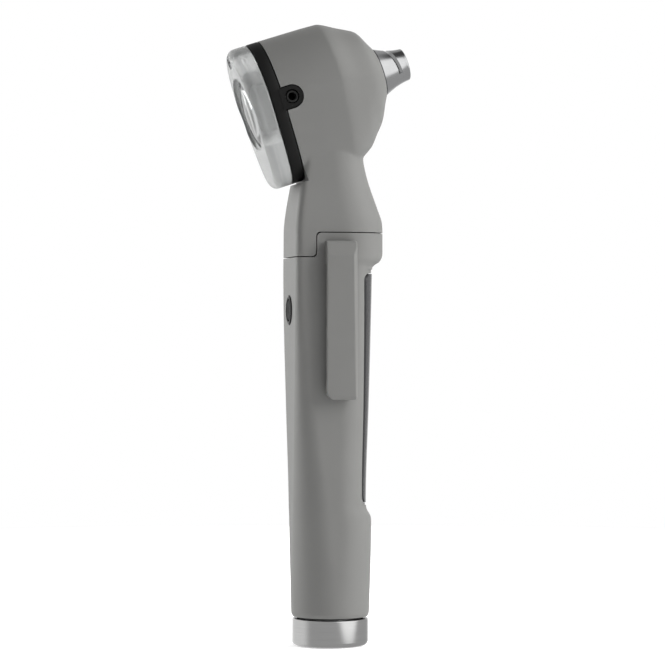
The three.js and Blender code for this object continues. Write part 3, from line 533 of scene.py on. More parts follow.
def egg_ring(x, top, bottom, half, roundness=0.0, depth=None, count=144):
    """Egg-shaped section across the sight line: domed top, sides tapering to a blunt foot."""
    ring = []
    for i in range(count):
        angle = 2 * math.pi * i / count
        c, s = math.cos(angle), math.sin(angle)
        power = 2 / FACE["corner"] if s < 0 else 1.0
        rise = bottom + FACE["middle"] if s < 0 else top - FACE["middle"]
        narrow = 1 - FACE["taper"] * abs(s) ** power if s < 0 else 1.0
        y = half * narrow * math.copysign(abs(c) ** power, c)
        z = FACE["middle"] + rise * math.copysign(abs(s) ** power, s)
        y += (half * c - y) * roundness
        z += ((top + bottom) / 2 * s + (top - bottom) / 2 - z) * roundness
        ring.append((depth(z) if depth else x, y, z))
    return ring


def leaning(x):
    """Distance along the sight line for a station of the drum, whose front edge leans back below the middle."""
    near_edge = max(0.0, 1 - abs(x - DRUM_EDGE) / abs(DRUM_EDGE))
    return lambda z: x + DRUM_LEAN * min(z - FACE["middle"], 0) * near_edge


def drum(name, inset, start, end, stations=DRUM):
    rows = [between(stations, x) for x in steps_between(start, end, 0.4)]
    rings = [egg_ring(x, top - inset, bottom - inset, half - inset, roundness, leaning(x))
             for x, top, bottom, half, roundness in rows]
    return loft(name, rings, HEAD_PLACE)


# ------------------------------------------------------------------ mesh work
def baked(obj):
    """Applies everything live on a piece, so that only its plain mesh is left."""
    graph = bpy.context.evaluated_depsgraph_get()
    mesh = bpy.data.meshes.new_from_object(obj.evaluated_get(graph))
    obj.modifiers.clear()
    old, obj.data = obj.data, mesh
    bpy.data.meshes.remove(old)
    return obj


def combine(obj, operation, *others):
    """Joins or cuts a closed piece with others, and removes the others."""
    for other in others:
        modifier = obj.modifiers.new("combine", "BOOLEAN")
        modifier.operation = operation
        modifier.solver = "MANIFOLD"
        modifier.object = other
        baked(obj)
        bpy.data.objects.remove(other, do_unlink=True)
    if not obj.data.polygons:
        raise RuntimeError(f"{obj.name} was lost in a boolean")
    return obj


def cut(obj, *others):
    return combine(obj, "DIFFERENCE", *others)


def join(obj, *others):
    return combine(obj, "UNION", *others)


def common(obj, other):
    return combine(obj, "INTERSECT", other)


def soften(obj, spacing=None, rounds=None):
    """Even fine mesh over a shell, smoothed so that its edges and creases are rounded as in a moulding."""
    sizes = size_settings()
    skin = obj.modifiers.new("skin", "REMESH")
    skin.mode = "VOXEL"
    skin.voxel_size = (spacing or sizes.skin) * 1.0
    smooth = obj.modifiers.new("smooth", "SMOOTH")
    smooth.factor = 0.5
    smooth.iterations = rounds or sizes.softening
    return baked(obj)


def shaded(obj, angle=None):
    obj.data.shade_smooth()
    if angle:
        obj.data.set_sharp_from_angle(angle=math.radians(angle))
    return obj


def seat(obj, material, body, slot, *nodes):
    """Gives a finished piece its material and body, and hides the CAD nodes that it stands for; the slot
    argument is not used.
    """
    obj.data.materials.clear()
    obj.data.materials.append(material)
    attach(obj, body)
    if nodes:
        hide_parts(*nodes)
    return obj


def above_seam(shift):
    r, x = SEAM["round"], SEAM["x"] - shift
    low, high = SEAM["low"] + shift, SEAM["high"] + shift
    outline = [(-40, low)] + arc(x - r, low + r, r, -90, 0, 8) + arc(x + r, high - r, r, 180, 90, 8)
    outline += [(40, high), (40, 260), (-40, 260)]
    return prism("above_seam", [(z, px) for px, z in outline], 40, -40, "Y")


def tube(outer, inner, low, high):
    return [(inner, low), (outer, low), (outer, high), (inner, high), (inner, low)]


def disc(radius, low, high):
    return [(0, low), (radius, low), (radius, high), (0, high)]


def grip_loft(name, rows, low, high, inset=0.0, spacing=0.7):
    """Solid through the stations of grip or neck; past its ends the end station runs on."""
    heights = steps_between(low, high, spacing)
    rings = [grip_ring([z, *between(rows, min(max(z, rows[0][0]), rows[-1][0]))[1:]], inset) for z in heights]
    return loft(name, rings)


def face_ring(x, inset=0.0, depth=None):
    return egg_ring(x, FACE["top"] - inset, FACE["bottom"] - inset, FACE["half"] - inset, 0.0, depth, 192)


def slanted(depth):
    """Distance along the sight line at a height on the face, for a frame that is thinner at its foot."""
    tall = FACE["top"] + FACE["bottom"]
    return lambda z: FRAME_BACK - depth * (1 - FRAME_SHRINK * (FACE["top"] - z) / tall)


def turned_outwards(obj):
    """Points the faces of a closed shape outwards."""
    shape = bmesh.new()
    shape.from_mesh(obj.data)
    bmesh.ops.recalc_face_normals(shape, faces=shape.faces)
    shape.to_mesh(obj.data)
    shape.free()
    return obj


def tab_layer(extra, proud, deep):
    """Side tab of the band: a rounded block within a layer that follows the drum's side."""
    x0, x1 = DRUM_REAR - 3, TAB["x"] + TAB["radius"] + extra
    z0, z1 = TAB["z"] - TAB["radius"] - extra, TAB["z"] + TAB["radius"] + extra
    outline = rounded_box(x0, x1, z0, z1, TAB["radius"] + extra - 0.01, 14)
    block = prism("tab", [(z, x) for x, z in outline], -6, -20, "Y", HEAD_PLACE)
    return cut(common(block, drum("over", -proud, DRUM_REAR - 1, 0)), drum("under", -deep, DRUM_REAR - 2, 0))


def tab_space():
    return tab_layer(GAP, 1.0, -TAB_DEPTH - 0.4)


def port_hole(gap):
    return lathe("port", disc(TAB["port"] + gap, 8, 20), "-Y",
                 HEAD_PLACE @ Matrix.Translation((TAB["x"], 0, TAB["z"])), 64)


def nose_radius(x):
    """Radius of the nose cone at a distance from its seat: a concave flare down to the tip."""
    share = max(0.0, 1 - x / NOSE["length"])
    return NOSE["tip"] + (NOSE["base"] - NOSE["tip"]) * share ** 1.7


def bayonet_path(turn):
    """Short helix over the side of the cone that climbs towards the tip."""
    points = []
    for i in range(49):
        share = i / 48
        angle = turn + math.pi * (GROOVE["start"] - GROOVE["sweep"] * share)
        x = GROOVE["near"] + GROOVE["climb"] * share * share * (3 - 2 * share)
        r = nose_radius(x) + GROOVE["clear"]
        points.append(HEAD_PLACE @ Vector((x, -r * math.cos(angle), r * math.sin(angle))))
    return points


def smooth_path(points, steps):
    """Points of a smooth curve through the given ones."""
    ends = [2 * points[0] - points[1], *points, 2 * points[-1] - points[-2]]
    result = []
    for a, b, c, d in zip(ends, ends[1:], ends[2:], ends[3:]):
        for i in range(steps):
            t = i / steps
            result.append(0.5 * (2 * b + (c - a) * t + (2 * a - 5 * b + 4 * c - d) * t * t
                                 + (3 * b - a - 3 * c + d) * t ** 3))
    return result + [points[-1]]


def swept(name, path, section):
    """Solid with one section carried along a path without twist."""
    rings, side = [], None
    for i, point in enumerate(path):
        ahead = (path[min(i + 1, len(path) - 1)] - path[max(i - 1, 0)]).normalized()
        side = side or ahead.orthogonal().normalized()
        side = (side - ahead * side.dot(ahead)).normalized()
        up = ahead.cross(side)
        rings.append([point + side * a + up * b for a, b in section])
    return turned_outwards(loft(name, rings))


def inlay_block(extra, deep):
    """Space of the glossy insert: its outline, less the grip inset by its depth."""
    low, high, r = INLAY["low"] - extra, INLAY["high"] + extra, INLAY["corner"]
    low_half, high_half = INLAY["low_half"] + extra, INLAY["high_half"] + extra
    right = arc(low_half - r, low + r, r, -90, 0, 8) + arc(high_half - r, high - r, r, 0, 90, 8)
    outline = right + [(-y, z) for y, z in reversed(right)]
    block = prism("insert", outline, 2, 40, "X")
    return cut(block, grip_loft("under", GRIP, 0, 140, deep))


def pocket_block():
    """Shallow step in the grip all round the insert."""
    outline = rounded_box(-POCKET["half"], POCKET["half"], POCKET["low"], POCKET["high"], POCKET["corner"], 10)
    return cut(prism("pocket", outline, 2, 40, "X"), grip_loft("floor", GRIP, 0, 140, POCKET["depth"]))


def clip_holes():
    """Two screw holes through the wall behind the clip's root."""
    profile = [(0, 8), (2.1, 8), (2.1, 10.9), (1.2, 10.9), (1.2, 14), (0, 14)]
    return join(*[lathe("clip_hole", profile, "-Y", Matrix.Translation((x, 0, z)), 48)
                  for x, y, z in CLIP_SCREW_SPOTS])


# ------------------------------------------------------------------ Geometry Nodes
class Tree:
    """A Geometry Nodes tree in the making, with named inputs."""

    def __init__(self, name, inputs):
        self.group = bpy.data.node_groups.new(name, "GeometryNodeTree")
        for label, kind in inputs.items():
            self.group.interface.new_socket(label, in_out="INPUT", socket_type="NodeSocket" + kind)
        self.group.interface.new_socket("Geometry", in_out="OUTPUT", socket_type="NodeSocketGeometry")
        self.given = self.group.nodes.new("NodeGroupInput").outputs

    def node(self, kind, settings=None, inputs=None, output=0):
        node = self.group.nodes.new(kind)
        for key, value in (settings or {}).items():
            setattr(node, key, value)
        for key, value in (inputs or {}).items():
            for source in value if isinstance(value, list) else [value]:
                if isinstance(source, bpy.types.NodeSocket):
                    self.group.links.new(source, node.inputs[key])
                else:
                    node.inputs[key].default_value = source
        return node.outputs[output]

    def vector(self, **axes):
        return self.node("ShaderNodeCombineXYZ", None, axes)

    def maths(self, operation, first, second):
        return self.node("ShaderNodeMath", {"operation": operation}, {0: first, 1: second})

    def finished(self, geometry):
        whole = self.node("GeometryNodeRealizeInstances", None, {0: geometry})
        coated = self.node("GeometryNodeSetMaterial", None, {0: whole, "Material": self.given["Material"]})
        end = self.group.nodes.new("NodeGroupOutput")
        self.group.links.new(coated, end.inputs[0])
        return self.group


def grown(name, tree, values, points=((0, 0, 0),)):
    """Piece made by a Geometry Nodes tree over some points, as a plain mesh in its place."""
    obj = new_object(name, points, [])
    modifier = obj.modifiers.new("grow", "NODES")
    modifier.node_group = tree
    for item in tree.interface.items_tree:
        if item.in_out == "INPUT" and item.name in values:
            modifier[item.identifier] = values[item.name]
    return baked(obj)


def helix_tree():
    """Wire or thread ridge wound round the handle's axis."""
    tree = Tree("Helix", {"Geometry": "Geometry", "Turns": "Float", "Bottom Radius": "Float",
                          "Top Radius": "Float", "Height": "Float", "Base": "Float", "Wire Radius": "Float",
                          "Wire Sides": "Int", "Material": "Material"})
    given = tree.given
    coil = tree.node("GeometryNodeCurveSpiral", None, {
        "Resolution": 64, "Rotations": given["Turns"], "Start Radius": given["Bottom Radius"],
        "End Radius": given["Top Radius"], "Height": given["Height"]})
    section = tree.node("GeometryNodeCurvePrimitiveCircle", {"mode": "RADIUS"},
                        {"Resolution": given["Wire Sides"], "Radius": given["Wire Radius"]})
    wire = tree.node("GeometryNodeCurveToMesh", None, {
        "Curve": coil, "Profile Curve": section, "Fill Caps": True})
    lifted = tree.node("GeometryNodeTransform", None, {
        "Geometry": wire, "Translation": tree.vector(Z=given["Base"])})
    return tree.finished(lifted)


def screw_tree():
    """Screws with a cross recess, one on each point, heads facing along the given turn."""
    tree = Tree("Screws", {"Geometry": "Geometry", "Head Radius": "Float", "Head Height": "Float",
                           "Shank Radius": "Float", "Length": "Float", "Turn": "Rotation",
                           "Material": "Material"})
    given = tree.given
    half_head = tree.maths("MULTIPLY", given["Head Height"], 0.5)
    half_length = tree.maths("MULTIPLY", given["Length"], -0.5)
    head = tree.node("GeometryNodeMeshCylinder", None, {
        "Vertices": 48, "Radius": given["Head Radius"], "Depth": given["Head Height"]})
    head = tree.node("GeometryNodeTransform", None, {"Geometry": head, "Translation": tree.vector(Z=half_head)})
    overlap = tree.maths("ADD", given["Length"], half_head)
    shank = tree.node("GeometryNodeMeshCylinder", None, {
        "Vertices": 32, "Radius": given["Shank Radius"], "Depth": overlap})
    middle = tree.maths("ADD", half_length, tree.maths("MULTIPLY", half_head, 0.5))
    shank = tree.node("GeometryNodeTransform", None, {"Geometry": shank, "Translation": tree.vector(Z=middle)})
    long = tree.maths("MULTIPLY", given["Head Radius"], 1.2)
    thin = tree.maths("MULTIPLY", given["Head Radius"], 0.24)
    recess = []
    for x, y in ((long, thin), (thin, long)):
        bar = tree.node("GeometryNodeMeshCube", None, {"Size": tree.vector(X=x, Y=y, Z=given["Head Height"])})
        recess.append(tree.node("GeometryNodeTransform", None, {
            "Geometry": bar, "Translation": tree.vector(Z=given["Head Height"])}))
    solid = tree.node("GeometryNodeMeshBoolean", {"operation": "UNION"}, {1: [head, shank]})
    crossed = tree.node("GeometryNodeMeshBoolean", {"operation": "DIFFERENCE"}, {0: solid, 1: recess})
    placed = tree.node("GeometryNodeInstanceOnPoints", None, {
        "Points": given["Geometry"], "Instance": crossed, "Rotation": given["Turn"]})
    return tree.finished(placed)


# ------------------------------------------------------------------ operators
class OTOSCOPE_OT_head(bpy.types.Operator):
    """Make the moulded head: tilted drum, neck, soft crease between them, cavity and openings"""
    bl_idname = "otoscope.head"
    bl_label = "Head Shell"

    def execute(self, context):
        body = drum("head_housing", 0, DRUM_REAR - 1, 0)
        body = soften(join(body, grip_loft("neck", NECK, 117, 153)))
        behind = prism("behind", rounded_box(-30, 30, -FACE["bottom"] - 0.45, 60, 0.01, 1), -70, DRUM_REAR, "X",
                       HEAD_PLACE)
        cavity = drum("cavity", 1.9, DRUM_REAR - 2, -2.8, DRUM[:-4] + [(-2.8, 13, 14, 9.9, 0.95)])
        throat = grip_loft("throat", NECK, 116, 152.5, 2.1)
        hole = lathe("nose_hole", disc(7.0, -8, 2), "X", HEAD_PLACE)
        cut(common(body, above_seam(0.15)), behind, tab_space(), port_hole(GAP), cavity, throat, hole)
        seat(shaded(body, 40), shared(moulded_grey), "handle", "grey_plastic", "head_shell")
        return {"FINISHED"}


class OTOSCOPE_OT_band(bpy.types.Operator):
    """Make the black band with its side tab, the air port bush and the seal behind the magnifier"""
    bl_idname = "otoscope.band"
    bl_label = "Band and Port"

    def execute(self, context):
        rear, front = BAND
        edge = 0.22
        rows = [(rear, edge), (rear + edge / 3, edge / 3), (rear + edge, 0), (front - edge, 0),
                (front - edge / 3, edge / 3), (front, edge)]
        ring = loft("bezel_ring", [face_ring(x, inset) for x, inset in rows], HEAD_PLACE)
        join(ring, tab_layer(0.0, 0.12, -TAB_DEPTH))
        cut(ring,
            lathe("aperture", disc(10.5, -40, -30), "X", HEAD_PLACE),
            lathe("groove", tube(12.3, 11.0, rear - 1, rear + 1.1), "X", HEAD_PLACE),
            lathe("pivot_hole", disc(1.2, -40, -30), "X", HEAD_PLACE @ Matrix.Translation((0, 0, FACE_PIVOT))),
            port_hole(GAP))
        seat(shaded(ring, 32), matt_black(), "handle", "black_plastic", "bezel_band")
        lip = [(1.2, 10.2), (TAB["port"], 10.2), (TAB["port"], 12.55)] + arc(1.52, 12.55, 0.33, 0, 180, 8)[1:]
        bush = lathe("port_bush", lip + [(1.2, 10.2)], "-Y",
                     HEAD_PLACE @ Matrix.Translation((TAB["x"], 0, TAB["z"])), 48)
        seat(shaded(bush, 50), shared(soft_rubber), "handle", "black_rubber", "insufflation_port")
        seal = lathe("rim_seal", [(11.3, rear + 0.7), (12.0, rear + 0.7), (12.0, rear + 0.15),
                                  (11.65, rear - 0.12), (11.3, rear + 0.15), (11.3, rear + 0.7)],
                     "X", HEAD_PLACE)
        turned_outwards(seal)
        seat(shaded(seal, 50), shared(soft_rubber), "handle", "black_rubber", "lens_seal")
        return {"FINISHED"}


class OTOSCOPE_OT_magnifier(bpy.types.Operator):
    """Make the clear swing-out frame and the magnifying lens in it"""
    bl_idname = "otoscope.magnifier"
    bl_label = "Magnifier"

    def execute(self, context):
        front = FRAME_BACK - FRAME_DEPTH
        steps = 14
        rings = []
        for i in range(steps, -1, -1):
            angle = math.pi / 2 * i / steps
            depth = FRAME_DEPTH - FRAME_ROUND * (1 - math.sin(angle))
            rings.append(face_ring(0, FRAME_ROUND * (1 - math.cos(angle)), slanted(depth)))
        rings += [face_ring(0, 0, slanted(d)) for d in (2.4, 1.2, 0.25)] + [face_ring(FRAME_BACK, 0.25)]
        body = loft("clear_frame", rings, HEAD_PLACE)
        screw = HEAD_PLACE @ Matrix.Translation((0, 0, FACE_PIVOT))
        cut(body,
            lathe("lens_seat", disc(LENS["radius"] + GAP, front - 5, LENS["rear"] + GAP), "X", HEAD_PLACE),
            lathe("sight", disc(SIGHT, front - 5, FRAME_BACK + 5), "X", HEAD_PLACE),
            lathe("hole", disc(1.2, front - 5, -30), "X", screw, 48),
            lathe("sink", disc(2.1, front - 5, front + 1.9), "X", screw, 48))
        seat(shaded(body, 30), clear_acrylic(), "magnifier", "clear_acrylic", "lens_frame")
        radius, bulge = LENS["radius"], LENS["bulge"]
        shares = [i / 16 for i in range(17)]
        rear = [(radius * s, LENS["rear"] - LENS["edge"] - bulge * (1 - s * s)) for s in shares]
        top = [(radius * s, LENS["rear"] + bulge * (1 - s * s)) for s in reversed(shares)]
        lens = lathe("glass_lens", rear + top, "X", HEAD_PLACE, 128)
        seat(shaded(lens, 40), polished_glass(), "magnifier", "lens_glass", "magnifier_lens")
        return {"FINISHED"}


class OTOSCOPE_OT_nose(bpy.types.Operator):
    """Make the plated nose cone with its bayonet grooves, the clear light ring and the viewing funnel"""
    bl_idname = "otoscope.nose"
    bl_label = "Nose Cone"

    def execute(self, context):
        length, tip, shank = NOSE["length"], NOSE["tip"], NOSE["shank"]
        flare = [(nose_radius(x), x) for x in steps_between(0.3, length - 0.35, 0.3)]
        outside = [(shank, -5.4), (shank, 0.3)] + flare + arc(tip - 0.35, length - 0.35, 0.35, 0, 90, 6)[1:]
        inside = [(4.6, length), (4.35, length - 0.3), (5.9, 0.5), (5.9, -5.4)]
        cone = lathe("nose_shell", outside + inside + [outside[0]], "X", HEAD_PLACE, 128)
        half = GROOVE["half"]
        square = [(-half, -half), (half, -half), (half, half), (-half, half)]
        cut(cone, *[swept("bayonet", bayonet_path(start), square) for start in (0, math.pi)])
        seat(shaded(cone, 32), plated_chrome(), "handle", "chrome_metal", "nose_cone")
        ring = lathe("light_ring", [(5.4, -9.4), (5.4, 0.6), (4.05, length - 0.1), (3.45, length - 0.1),
                                    (4.7, 0.4), (4.7, -9.4), (5.4, -9.4)], "X", HEAD_PLACE)
        route = [(1.6, 145.8), (2.8, 149), (6.2, 156), (8.3, 161.5), (9.2, 167.4)]
        path = smooth_path([Vector((x, 0, z)) for x, z in route], 8)
        join(ring, swept("light_pipe", path, arc(0, 0, 1.5, 0, 360, 24)[:-1]))
        cut(ring, lathe("channel", disc(4.7, -14, 0), "X", HEAD_PLACE))
        seat(shaded(ring, 30), clear_acrylic("clear_guide", 0.06), "handle", "clear_acrylic", "light_guide")
        funnel = [(4.6, -9.8), (8.4, -31.6), (8.8, -32.6), (9.8, -32.6), (9.4, -31.8), (5.5, -9.8), (4.6, -9.8)]
        cone = turned_outwards(lathe("sight_funnel", funnel, "X", HEAD_PLACE))
        seat(shaded(cone, 30), matt_black("funnel_black", 0.62), "handle", "black_plastic", "viewing_funnel")
        return {"FINISHED"}


class OTOSCOPE_OT_handle(bpy.types.Operator):
    """Make the handle shell with its stepped seam, battery bore and button seat, and the glossy insert"""
    bl_idname = "otoscope.handle"
    bl_label = "Handle"

    def execute(self, context):
        body = cut(grip_loft("handle_housing", GRIP, 8.8, 127), above_seam(-0.15))
        button = Matrix.Translation((0, 0, BUTTON_Z))
        cut(body,
            lathe("bore", disc(BORE["radius"], 0, BORE["top"])),
            lathe("foot", disc(FOOT["radius"], 0, FOOT["top"])),
            prism("socket", rounded_box(-10.8, 9.9, -9.5, 9.5, 3.8), 115.0, 140),
            prism("electronics", rounded_box(-11.5, -6, -6.6, 6.6, 0.3), 88, BORE["top"]),
            lathe("button_hole", disc(3.7, -14, -8), "X", button),
            lathe("button_seat", disc(4.6, -14, -12.0), "X", button),
            pocket_block(), inlay_block(GAP, 1.2), clip_holes())
        seat(shaded(body, 32), shared(moulded_grey), "handle", "grey_plastic", "handle_shell")
        insert = common(inlay_block(0, 0.9), grip_loft("face", GRIP, 8.8, 127, 0.02))
        seat(shaded(insert, 32), gloss_insert(), "handle", "gloss_inlay", "front_inlay")
        return {"FINISHED"}


class OTOSCOPE_OT_clip(bpy.types.Operator):
    """Make the pocket clip, root and blade, as one moulded piece"""
    bl_idname = "otoscope.clip"
    bl_label = "Pocket Clip"

    def execute(self, context):
        low, high = CLIP_LOW / MM, CLIP_HIGH / MM
        flex = CLIP_FLEX[2] / MM
        outer, inner, toe, edge, heel = CLIP["outer"], CLIP["inner"], CLIP["toe"], CLIP["edge"], CLIP["heel"]
        profile = [(-12.3, flex - 0.4), (-12.3, high.z - 0.6)] + arc(-12.9, high.z - 0.6, 0.6, 0, 90, 5)[1:]
        profile += [(-13.9, high.z), (-14.35, high.z - 0.15), (-14.7, high.z - 0.7), (outer, 118.5),
                    (outer + 0.1, 108), (outer + 0.5, low.z + 1.2), (outer + 0.8, low.z + 0.3),
                    (outer + 1.4, low.z), (-13.7, low.z + 0.4), (-12.9, low.z + 1.3), (-12.7, low.z + 2.4),
                    (-12.9, low.z + 4.2), (-13.9, low.z + 7), (inner, 108), (inner, flex - 2.4),
                    (-14.0, flex - 1.2), (-13.1, flex - 0.5)]
        side = prism("clip_side", profile, low.x - 1, high.x + 1, "X")
        turned_outwards(side)
        face = (arc(low.x + toe, low.z + toe, toe, 180, 270, 8)
                + arc(high.x - edge, low.z + edge, edge, 270, 360, 5)
                + arc(high.x - heel, high.z - heel, heel, 0, 90, 4) + [(low.x, high.z)])
        front = prism("clip_front", [(z, x) for x, z in face], -10, -20, "Y")
        section = [(low.x - 1, -20), (high.x - 1.2, -20), (high.x - 1.2, -15.95), (high.x + 0.1, -14.9),
                   (high.x + 0.1, -10), (low.x - 1, -10)]
        bar = common(side, turned_outwards(front))
        bar = common(bar, prism("clip_section", section, low.z - 2, high.z + 2))
        clip = soften(bar, 0.22 * MM, 2)
        clip.name = "pocket_clip"
        clip.data.materials.clear()
        clip.data.materials.append(shared(moulded_grey))
        shaded(clip)
        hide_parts("clip_root", "clip_blade")
        (flex + 1.2) * MM
        (flex - 1.6) * MM
        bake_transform(clip)
        return {"FINISHED"}


class OTOSCOPE_OT_button(bpy.types.Operator):
    """Make the dished power button and the black ring round it"""
    bl_idname = "otoscope.button"
    bl_label = "Power Button"

    def execute(self, context):
        place = Matrix.Translation((0, 0, BUTTON_Z))
        dish = [(3.1 * s, -12.72 - 0.23 * math.sin(min(s * 1.15, 1) * math.pi / 2) ** 2) for s in
                [i / 12 for i in range(12)]]
        stem = [(3.05, -12.8), (3.1, -12.7), (3.1, -12.35), (1.3, -12.35), (1.3, -11.75), (0, -11.75)]
        cap = lathe("button_cap", dish + stem, "X", place)
        seat(shaded(cap, 50), shared(soft_rubber), "button", "black_rubber", "power_button")
        ring = [(3.4, -12.7), (3.55, -12.92), (3.7, -13.0), (4.05, -13.0), (4.22, -12.92), (4.3, -12.75),
                (4.3, -12.3), (3.4, -12.3), (3.4, -12.7)]
        bezel = turned_outwards(lathe("button_ring", ring, "X", place))
        seat(shaded(bezel, 50), matt_black("ring_black", 0.35), "handle", "black_plastic", "button_bezel")
        return {"FINISHED"}


class OTOSCOPE_OT_cap(bpy.types.Operator):
    """Make the turned end cap with its thread, the threaded insert and the seal between them"""
    bl_idname = "otoscope.cap"
    bl_label = "End Cap"

    def execute(self, context):
        turns, pitch = 4.6, size_settings().thread_pitch
        metal = turned_metal("turned_cap", (0.66, 0.66, 0.655), 0.2, 5200, 0.0008 * MM)
        edge, rim, height = CAP["edge"], CAP["rim"], CAP["height"]
        outside = [(0, 0)] + arc(CAP_RADIUS - edge, edge, edge, -90, 0, 12)
        outside += arc(CAP_RADIUS - rim, height - rim, rim, 0, 90, 5)
        outside += [(CAP["neck"], height), (CAP["neck"], 9.2),
                    (CAP["thread"], 9.6), (CAP["thread"], CAP_TOP - 0.6)]
        inside = [(8.3, CAP_TOP), (CAP["bore"], CAP_TOP), (CAP["bore"], CAP["floor"]), (0, CAP["floor"])]
        cap = lathe("cap_body", outside + inside, count=144)
        helix = helix_tree()
        ridge = {"Bottom Radius": 8.84 * MM, "Top Radius": 8.84 * MM, "Wire Radius": 0.36 * MM, "Wire Sides": 3,
                 "Turns": turns, "Height": turns * pitch, "Base": 10.0 * MM, "Material": metal}
        join(cap, grown("cap_thread", helix, ridge))
        seat(shaded(cap, 32), metal, "cap", "turned_steel", "end_cap")
        nut = lathe("insert_body", tube(10.5, 9.6, 9.1, 17.0), count=96)
        inner = dict(ridge, **{"Bottom Radius": 9.62 * MM, "Top Radius": 9.62 * MM, "Wire Radius": 0.13 * MM})
        join(nut, grown("insert_thread", helix, inner))
        alloy = turned_metal("turned_alloy", (0.56, 0.565, 0.57), 0.34, 2600, 0.004 * MM)
        seat(shaded(nut, 32), alloy, "handle", "aluminium_parts", "thread_insert")
        ring = lathe("seal_ring", [(9.9 + 0.45 * math.cos(a), 8.65 + 0.3 * math.sin(a)) for a in
                                   [math.pi * 2 * i / 16 for i in range(16)] + [0.0]])
        seat(shaded(ring), shared(soft_rubber), "cap", "black_rubber", "cap_seal")
        coil = {"Bottom Radius": 6.4 * MM, "Top Radius": 3.6 * MM, "Turns": 5.0, "Height": 8.1 * MM,
                "Base": 3.75 * MM,
                "Wire Radius": size_settings().spring_wire / 2, "Wire Sides": 12}
        steel = stamped_metal("spring_steel", (0.5, 0.505, 0.51), 0.28)
        spring = grown("cell_spring", helix, dict(coil, Material=steel))
        seat(shaded(spring, 50), steel, "cap_contact", "small_steel", "battery_spring")
        return {"FINISHED"}


class OTOSCOPE_OT_screws(bpy.types.Operator):
    """Make the magnifier's pivot screw, the two clip screws and the two chassis screws"""
    bl_idname = "otoscope.screws"
    bl_label = "Screws"

    def execute(self, context):
        tree = screw_tree()
        steel = stamped_metal("screw_steel", (0.45, 0.455, 0.46), 0.3)
        front = FRAME_BACK - FRAME_DEPTH
        pivot = HEAD_PLACE @ Vector((front + 1.5, 0, FACE_PIVOT))
        jobs = [("pivot_screw", [pivot], (0, -math.pi / 2 - TILT, 0), PIVOT_SCREW, ["lens_pivot_screw"]),
                ("clip_screws", CLIP_SCREW_SPOTS, (-math.pi / 2, 0, 0), CLIP_SCREW,
                 ["clip_screw_1", "clip_screw_2"]),
                ("chassis_screws", CHASSIS_SCREW_SPOTS, (math.pi, 0, 0), CHASSIS_SCREW,
                 ["chassis_screw_left", "chassis_screw_right"])]
        for name, points, turn, (head, height, shank, length), nodes in jobs:
            values = {"Head Radius": head * MM, "Head Height": height * MM, "Shank Radius": shank * MM,
                      "Length": length * MM, "Turn": turn, "Material": steel}
            screws = grown(name, tree, values, points)
            seat(shaded(screws, 32), steel, "handle", "small_steel", *nodes)
        return {"FINISHED"}


class OTOSCOPE_OT_inside(bpy.types.Operator):
    """Finish the pieces inside: lamp, chassis, board, battery cells, contacts and leads"""
    bl_idname = "otoscope.inside"
    bl_label = "Inner Pieces"

    def execute(self, context):
        metal = turned_metal("lamp_alloy", (0.55, 0.555, 0.56), 0.38, 1800, 0.005 * MM)
        brass = stamped_metal("contact_brass", (0.62, 0.42, 0.16), 0.3)
        black = matt_black("inner_black", 0.55)
        finishes = {"nose_nut": metal, "led_holder": metal, "led_board": shared(solder_mask),
                    "control_board": shared(solder_mask),
                    "led_emitter": lamp_resin(), "neck_chassis": black, "battery_sleeve": black,
                    "tact_switch": black,
                    "battery_lower": shared(shrink_sleeve), "battery_upper": shared(shrink_sleeve),
                    "top_contact": brass,
                    "spring_plate": brass,
                    "switch_plunger": stamped_metal("plunger_steel", (0.5, 0.5, 0.5), 0.3),
                    "led_lead_left": shared(wire_insulation), "led_lead_right": shared(wire_insulation)}
        for node, material in finishes.items():
            part = frame["nodes"][node]
            part.data.materials.clear()
            part.data.materials.append(material)
        return {"FINISHED"}


